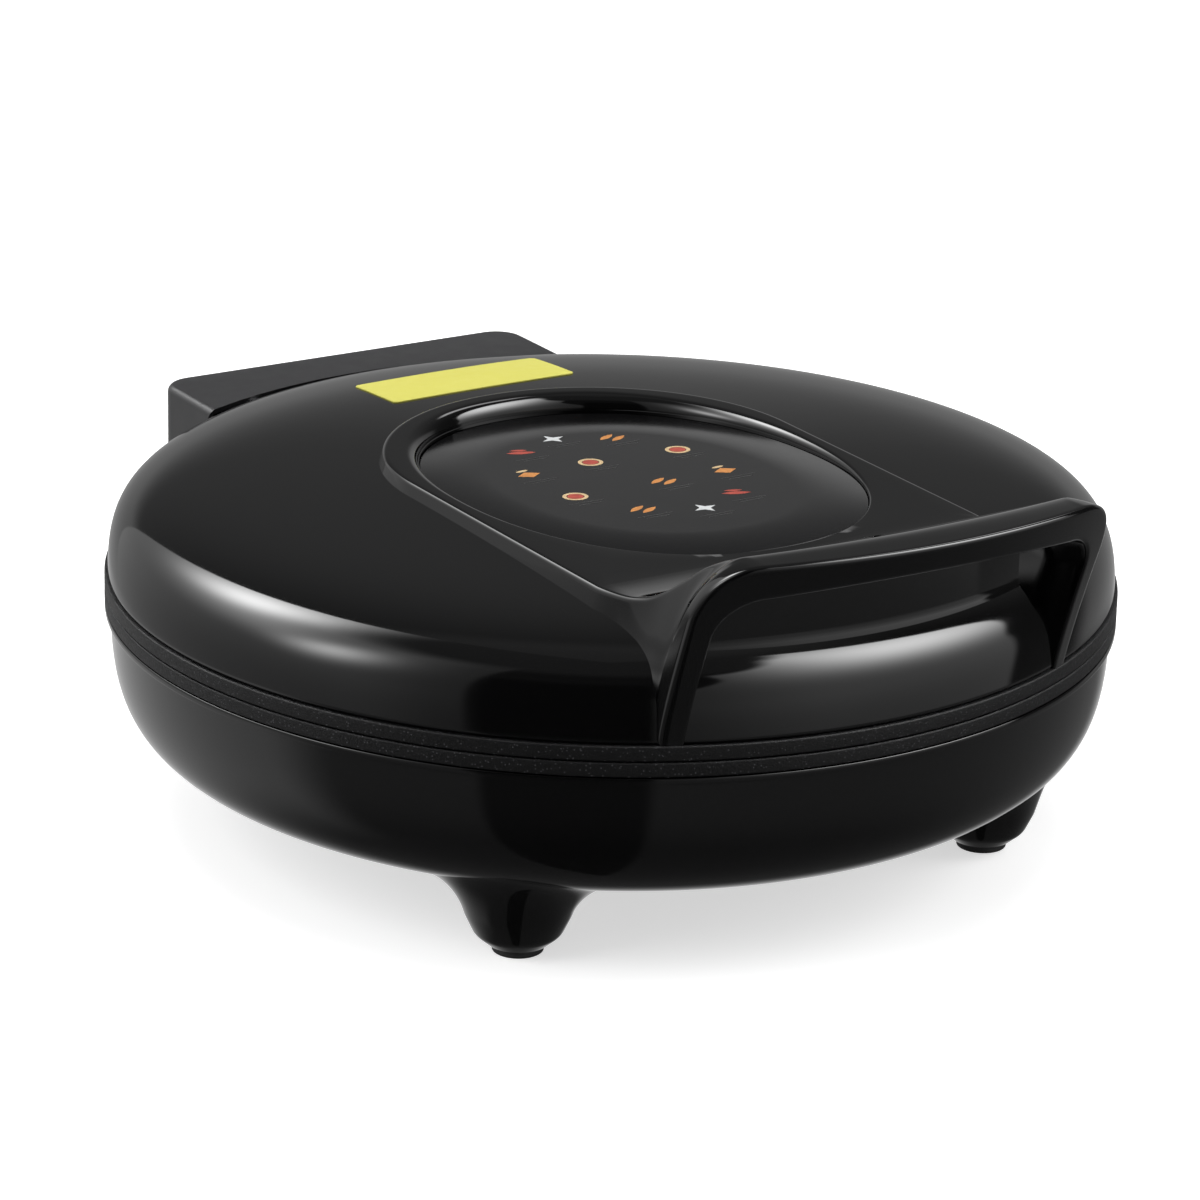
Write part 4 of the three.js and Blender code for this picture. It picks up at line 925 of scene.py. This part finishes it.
def make_rear_box():
    wall, edge = BOX["wall"], BOX["cover_edge"]
    cover = mesh_object("rear_cover", *soft_box(BOX["cover_low"], BOX["cover_top"], BOX["rear"], 0, 0, edge))
    room = mesh_object("cutter", *soft_box(BOX["cover_low"] - OVERRUN, BOX["cover_top"] - wall, BOX["rear"],
                                           wall))
    subtract(cover, room, dome_filler(BOX["lid_clear"]))
    place(cover, "lid", "satin_black", ["hinge_cover"], sharp=40)

    low, top, rear = BOX["housing_low"], BOX["housing_top"], BOX["housing_rear"]
    housing = mesh_object("rear_housing", *soft_box(low, top, rear, 0, BOX["housing_edge"], BOX["top_edge"]))
    room = mesh_object("cutter", *soft_box(low + wall, top + OVERRUN, rear, wall))
    lip, clear = BASE["lip"] + BOX["lip_clear"], BOX["lip_clear"]
    bowl = [(max(r, 0), z) for r, z in base_profile(-BOX["base_clear"])]
    bowl += [(lip, BASE["rim"] - BASE["lip_height"] - clear), (lip, BOX["body_top"]), (0, BOX["body_top"])]
    body = mesh_object("cutter", *join_grids((turned(bowl, 160), True)))
    half = BOX["arm_half"]
    slots = [brick((x - half, BOX["arm_y"], BOX["notch_low"]), (x + half, rear + 2 * wall, top + OVERRUN))
             for x in (-BOX["arm_x"], BOX["arm_x"])]
    ring = ellipse(BOX["gland_x"], BOX["gland_z"], BOX["gland_hole"], BOX["gland_hole"], count=40)
    rows = [[(x, y, z) for x, z in ring] for y in (rear - 2 * wall, rear + wall)]
    verts, faces = join_grids((rows, True))
    faces += [tuple(range(len(ring))), tuple(range(len(ring), 2 * len(ring)))]
    hole = mesh_object("cutter", verts, faces)
    subtract(housing, room, body, hole, *slots)
    place(housing, "base", "satin_black", ["hinge_housing"], sharp=40)


# Sticker and print
def make_sticker():
    """A bare label on the dome, with small round corners."""
    turn = math.radians(STICKER["turn"])
    half = np.array([STICKER["width"], STICKER["depth"]]) / 2
    rows, columns = STICKER["rows"], STICKER["columns"]
    sheet = []
    for v in np.linspace(-1, 1, rows) * half[1]:
        past = max(0.0, (abs(v) - half[1]) / STICKER["corner"] + 1)
        tuck = STICKER["corner"] * (1 - math.sqrt(max(0.0, 1 - past**2)))
        for u in np.linspace(-1, 1, columns) * (half[0] - tuck):
            x = STICKER["x"] + u * math.cos(turn) - v * math.sin(turn)
            y = STICKER["y"] + u * math.sin(turn) + v * math.cos(turn)
            sheet.append((x, y, float(lid_height(math.hypot(x, y))) + STICKER["lift"]))
    low = np.array(sheet).reshape(rows, columns, 3)
    high = low + np.array([0, 0, STICKER["thickness"]])
    side = [np.concatenate([layer[0], layer[1:, -1], layer[-1, -2::-1], layer[-2:0:-1, 0]])
            for layer in (low, high)]
    label = mesh_object("bare_label", *join_grids((low, False), (high, False), (side, True)))
    place(label, "lid", "sticker_yellow", ["blank_sticker"], sharp=50)


def flat_print(name, shapes, ink):
    """Flat printed shapes on the tilted panel, each an outline, or an outer one and an inner one."""
    verts, faces = [], []
    for outlines in shapes:
        loops = []
        for outline in outlines:
            for drop in (PRINT["lift"], -PRINT["sunk"]):
                loops.append(range(len(verts), len(verts) + len(outline)))
                verts += [(x, y, float(panel_height(y)) + drop) for x, y in outline]
        for high, low in zip(loops[::2], loops[1::2]):
            faces += [(high[i], high[i - 1], low[i - 1], low[i]) for i in range(len(high))]
        if len(outlines) == 1:
            faces += [tuple(loop) for loop in loops]
        else:
            for outer, inner in zip(loops[:2], loops[2:]):
                faces += [(outer[i], outer[i - 1], inner[i - 1], inner[i]) for i in range(len(outer))]
    place(mesh_object(name, verts, faces, 0.002), "lid", ink, sharp=30)


def leaf(x, y, length, width, turn):
    """Two arcs that meet in points."""
    c, s = math.cos(math.radians(turn)), math.sin(math.radians(turn))
    shares = np.linspace(-1, 1, 12)
    edge = [(length * t, width * (1 - t * t)) for t in shares]
    edge += [(length * t, -width * (1 - t * t)) for t in shares[::-1][1:-1]]
    return [(x + c * u - s * v, y + s * u + c * v) for u, v in edge]


def star(far, near, turn, points=4):
    reaches = [(far, near)[k % 2] for k in range(2 * points)]
    angles = [math.radians(turn + 180 / points * k) for k in range(2 * points)]
    return [(r * math.cos(a), r * math.sin(a)) for r, a in zip(reaches, angles)]


# Plain motifs about their own middles, each of shapes with an ink
MOTIFS = (
    (("cream", (ellipse(0, 0, 3.6, 3.6), ellipse(0, 0, 2.5, 2.5))), ("red", (ellipse(0, 0, 2.3, 2.3),))),
    (("orange", (leaf(-1.2, 1.3, 3.4, 1.1, 28),)), ("orange", (leaf(1.2, -1.3, 3.4, 1.1, 28),))),
    (("white", (star(3.9, 1.5, 12),)),),
    (("red", (leaf(0, 0, 4.2, 1.3, -20),)), ("red", (leaf(0.5, 2.5, 2.6, 0.8, -20),))),
    (("orange", (((-3.6, 0), (0, -2.6), (3.6, 0), (0, 2.6)),)), ("cream", (ellipse(0, 4.0, 2.0, 0.7, 8),))),
)


def make_prints():
    """Motifs in a loose oval with two inside it, each over two thin dim bars."""
    mx, my = PRINT["middle"]
    turns = np.radians(np.arange(PRINT["first"], 360, PRINT["turn"]))
    spots = [(mx + PRINT["reach"][0] * math.cos(a), my + PRINT["reach"][1] * math.sin(a)) for a in turns]
    spots += [(mx + x, my + y) for x, y in PRINT["inner"]]
    inks = {"white": [], "cream": [], "red": [], "orange": [], "grey": []}
    for i, (x, y) in enumerate(spots):
        for ink, outlines in MOTIFS[i % len(MOTIFS)]:
            inks[ink].append([[(x + PRINT["size"] * u, y + PRINT["size"] * v) for u, v in outline]
                              for outline in outlines])
        for below, half in PRINT["bars"]:
            low, high = y - below - PRINT["bar_half"], y - below + PRINT["bar_half"]
            inks["grey"].append([[(x - half, low), (x + half, low), (x + half, high), (x - half, high)]])
    for ink, shapes in inks.items():
        flat_print("print_" + ("bars" if ink == "grey" else ink), shapes, "ink_" + ink)


# Pads and screws
def make_pads():
    g = Growth("sole_pads", **{
        "Radius": PAD["radius"] * MM, "Height": PAD["height"] * MM, "Squareness": PAD["squareness"],
        "Spread across": 2 * FOOT["x"] * MM, "Spread along": 2 * FOOT["y"] * MM})
    size = g.size
    pad = g.soft_disc(size["Radius"], size["Height"], size["Squareness"], PAD["around"], PAD["rows"])
    spread = {"Size X": size["Spread across"], "Size Y": size["Spread along"],
              "Vertices X": 2, "Vertices Y": 2}
    pads = g.repeated(pad, g.node("GeometryNodeMeshGrid", None, spread))
    place(g.harvest(pads, "pad_rubber"), "base", "pad_rubber",
          ["foot_pad_" + where for where in ("front_left", "front_right", "rear_left", "rear_right")])


def make_base_screws():
    """Cross-recessed screws in the base's bores, heads down."""
    g = Growth("base_fixings", **{
        "Reach": SCREW["reach"] * MM, "Head": SCREW["head"] * MM, "Head height": SCREW["head_height"] * MM,
        "Shank": SCREW["shank"] * MM, "Length": SCREW["length"] * MM, "Slot": SCREW["slot"] * MM,
        "Slot depth": SCREW["slot_depth"] * MM, "Height": SCREW["z"] * MM})
    size = g.size
    head = g.soft_disc(size["Head"], size["Head height"], SCREW["squareness"], SCREW["around"],
                       SCREW["rows"])
    bars = []
    for way in ("X", "Y"):
        lengths = {"X": size["Slot"], "Y": size["Slot"], "Z": size["Slot depth"] * 2}
        lengths[way] = size["Head"] * SCREW["slot_share"]
        bars.append(g.node("GeometryNodeMeshCube", None, {0: g.node("ShaderNodeCombineXYZ", None, lengths)}))
    cross = g.node("GeometryNodeMeshBoolean", {"operation": "DIFFERENCE", "solver": "EXACT"},
                   {"Mesh 1": head, "Mesh 2": bars})
    shank = g.soft_disc(size["Shank"], size["Length"], SCREW["shank_squareness"], SCREW["shank_around"],
                        SCREW["shank_rows"])
    shank = g.raised(shank, size["Head height"] * SCREW["seat_share"])
    screw = g.node("GeometryNodeJoinGeometry", None, {0: [cross, shank]})
    ring = g.node("GeometryNodeMeshCircle", None, {"Vertices": 4, "Radius": size["Reach"]})
    screws = g.raised(g.repeated(screw, ring), size["Height"])
    place(g.harvest(screws, "fixing_steel"), "base", "fixing_steel",
          ["base_screw_" + where for where in ("left", "right", "front", "rear")], sharp=30)


# Camera, light and floor
CAMERA = dict(turn=-32.196, rise=19.61, roll=1.36, lens=150.98, sensor=36, nearest=50,
              place=(-859.8, -1359.5, 647.2))
PHOTO_SIDE = 1200
LIT = (0, 0, 0.08)
LAMPS = (("left_panel", (-1.6, 0.1, 1.1), (1.2, 1.2), 16), ("right_panel", (1.5, -0.9, 1.2), (1.2, 1.2), 16),
         ("overhead", (0.0, 0.2, 2.0), (1.6, 1.6), 26))
FLOOR = dict(half=3500, white=0.82, lift=0.6)
FILL = 0.5
RAYS = ("Is Camera Ray", "Is Glossy Ray", "Is Transmission Ray")

# The studio that gloss mirrors: degrees to the right of the front, and degrees above the level
RIGHT = dict(sides=(-22, 68), soft=1.5, slant=20, slant_rises=(12, 48), top_rises=(55, 51), tilt=18,
             tilt_turns=(-20, 60), dim=0.28, more=0.48, more_turns=(-20, 22), foot=0.55,
             foot_rises=(-22, 6), spot=(12.0, (66, 52), (36, 22)))
LEFT = dict(side_turns=(-62, -65), top_rises=(68, 54), dim=0.24, more=0.3, more_turns=(-64, -92),
            foot=0.6, foot_rises=(-22, 6), spots=((13.0, (-163, 46), (20, 11)), (2.6, (-132, 38), (32, 17)),
                                                  (6.5, (-102, 31), (11, 13))))
STRIP = dict(power=3.4, turns=(119, 130), rises=(36, 57), soft=2)
ROOM = dict(dim=0.06, high=0.1, high_rises=(52, 66), rear=0.08, rear_turns=(84, 130), low=0.25,
            low_rises=(17, 8), low_turns=(92, 104))
GAP = dict(turns=(-61, -22), soft=2, dark=0.7, rises=(44, 34))
GROUND = dict(rises=(-20, -17), dim=0.1, more=0.1, more_rises=(-52, -22), far=0.5, far_rises=(-62, -30),
              right_turns=(118, 140), left_turns=(-96, -118))


def make_camera():
    turn, rise, roll = (math.radians(CAMERA[key]) for key in ("turn", "rise", "roll"))
    back = Vector((math.sin(turn) * math.cos(rise), -math.cos(turn) * math.cos(rise), math.sin(rise)))
    right = Vector((math.cos(turn), math.sin(turn), 0))
    up = back.cross(right)
    across = math.cos(roll) * right + math.sin(roll) * up
    upward = -math.sin(roll) * right + math.cos(roll) * up
    data = bpy.data.cameras.new("camera")
    data.lens = CAMERA["lens"]
    data.sensor_width = CAMERA["sensor"]
    data.shift_x = data.shift_y = -1 / PHOTO_SIDE
    data.clip_start = CAMERA["nearest"] * MM
    camera = bpy.data.objects.new("camera", data)
    matrix = Matrix((across, upward, back)).transposed().to_4x4()
    matrix.translation = Vector(CAMERA["place"]) * MM
    camera.matrix_world = matrix
    bpy.context.scene.collection.objects.link(camera)
    bpy.context.scene.camera = camera


def lamp(name, position, size, power):
    data = bpy.data.lights.new(name, "AREA")
    data.shape = "RECTANGLE"
    data.size, data.size_y = size
    data.energy = power
    obj = bpy.data.objects.new(name, data)
    position = Vector(position)
    matrix = (Vector(LIT) - position).to_track_quat("-Z", "Y").to_matrix().to_4x4()
    matrix.translation = position
    obj.matrix_world = matrix
    obj.visible_glossy = False
    bpy.context.scene.collection.objects.link(obj)


def studio_light(shading):
    """What gloss mirrors: a tall panel at each side, a strip at the rear and a dim room, by direction."""
    way = shading.node("ShaderNodeTexCoord", output="Generated")
    x, y, z = shading.node("ShaderNodeSeparateXYZ", None, {0: way}, (0, 1, 2))
    degree = 180 / math.pi
    turn = shading.maths("ARCTAN2", x, 0 - y) * degree
    rise = shading.maths("ARCSINE", z) * degree

    def glow(power, at, spread):
        """A soft bright spot, by its middle and spread in degrees."""
        across, up = (turn - at[0]) / spread[0], (rise - at[1]) / spread[1]
        return power * shading.maths("EXPONENT", 0 - (across * across + up * up))

    def between(item, low, high, soft):
        return shading.ramp(item, low - soft, low + soft) * shading.ramp(item, high + soft, high - soft)

    ramp = shading.ramp
    slant = ramp(rise, *RIGHT["slant_rises"]) * RIGHT["slant"]
    top = rise - ramp(turn, *RIGHT["tilt_turns"]) * RIGHT["tilt"]
    right_area = between(turn - slant, *RIGHT["sides"], RIGHT["soft"]) * ramp(top, *RIGHT["top_rises"])
    left_area = ramp(turn, *LEFT["side_turns"]) * ramp(rise, *LEFT["top_rises"])
    right_glow, left_glow = [(side["dim"] + side["more"] * ramp(turn, *side["more_turns"]))
                             * (side["foot"] + (1 - side["foot"]) * ramp(rise, *side["foot_rises"]))
                             for side in (RIGHT, LEFT)]
    for spot in LEFT["spots"]:
        left_glow = left_glow + glow(*spot)
    right = right_area * (right_glow + glow(*RIGHT["spot"]))
    left = left_area * left_glow
    strip = (STRIP["power"] * between(turn, *STRIP["turns"], STRIP["soft"])
             * between(rise, *STRIP["rises"], STRIP["soft"]))
    gap = between(turn, *GAP["turns"], GAP["soft"])
    room = (ROOM["dim"] + ROOM["high"] * ramp(rise, *ROOM["high_rises"])
            + ROOM["rear"] * ramp(turn, *ROOM["rear_turns"])
            + ROOM["low"] * ramp(rise, *ROOM["low_rises"]) * ramp(turn, *ROOM["low_turns"]))
    room = room * (1 - GAP["dark"] * gap * ramp(rise, *GAP["rises"]))
    above = ramp(rise, *GROUND["rises"])
    far = ramp(turn, *GROUND["right_turns"]) + ramp(turn, *GROUND["left_turns"])
    ground = ((GROUND["dim"] + GROUND["more"] * ramp(rise, *GROUND["more_rises"])) * (1 - GAP["dark"] * gap)
              + GROUND["far"] * far * ramp(rise, *GROUND["far_rises"]))
    return above * (room + right + left + strip) + (1 - above) * ground


def make_world():
    """White where the camera looks past the object, the studio in gloss, and an even fill."""
    world = bpy.data.worlds.new("studio")
    bpy.context.scene.world = world
    world.use_nodes = True
    shading = Shading(world.node_tree)
    background = shading.tree.nodes["Background"]
    background.inputs["Color"].default_value = (1, 1, 1, 1)
    seen, glossy, through = shading.node("ShaderNodeLightPath", output=RAYS)
    plain = seen + through
    fill = FILL * (1 - plain) * (1 - glossy)
    strength = plain + glossy * studio_light(shading) * (1 - plain) + fill
    shading.tree.links.new(strength.socket, background.inputs["Strength"])


def make_floor():
    """A pale floor, lifted to white for the camera; it keeps the object's shadow."""
    half = FLOOR["half"]
    corners = [(-half, -half, 0), (half, -half, 0), (half, half, 0), (-half, half, 0)]
    floor = mesh_object("floor", corners, [(0, 1, 2, 3)])
    finish = Finish("floor", (FLOOR["white"],) * 3, 0.9)
    finish.shader.inputs["Specular IOR Level"].default_value = 0.0
    finish.shader.inputs["Emission Strength"].default_value = 1.0
    seen, _, through = finish.node("ShaderNodeLightPath", output=RAYS)
    finish.drive("Emission Color", finish.blend(seen + through, (0, 0, 0), (FLOOR["lift"],) * 3))
    floor.data.materials.append(finish.material)
    floor.visible_glossy = False


def make_lights():
    for row in LAMPS:
        lamp(*row)


make_camera()
make_world()
make_floor()
make_lights()
finish_cad_nodes()
make_lid_shell()
make_guide_panel()
make_handle_frame()
make_base_shell()
make_feet()
make_plates()
make_rear_box()
make_sticker()
make_prints()
make_pads()
make_base_screws()

bpy.context.scene.view_settings.view_transform = "Standard"
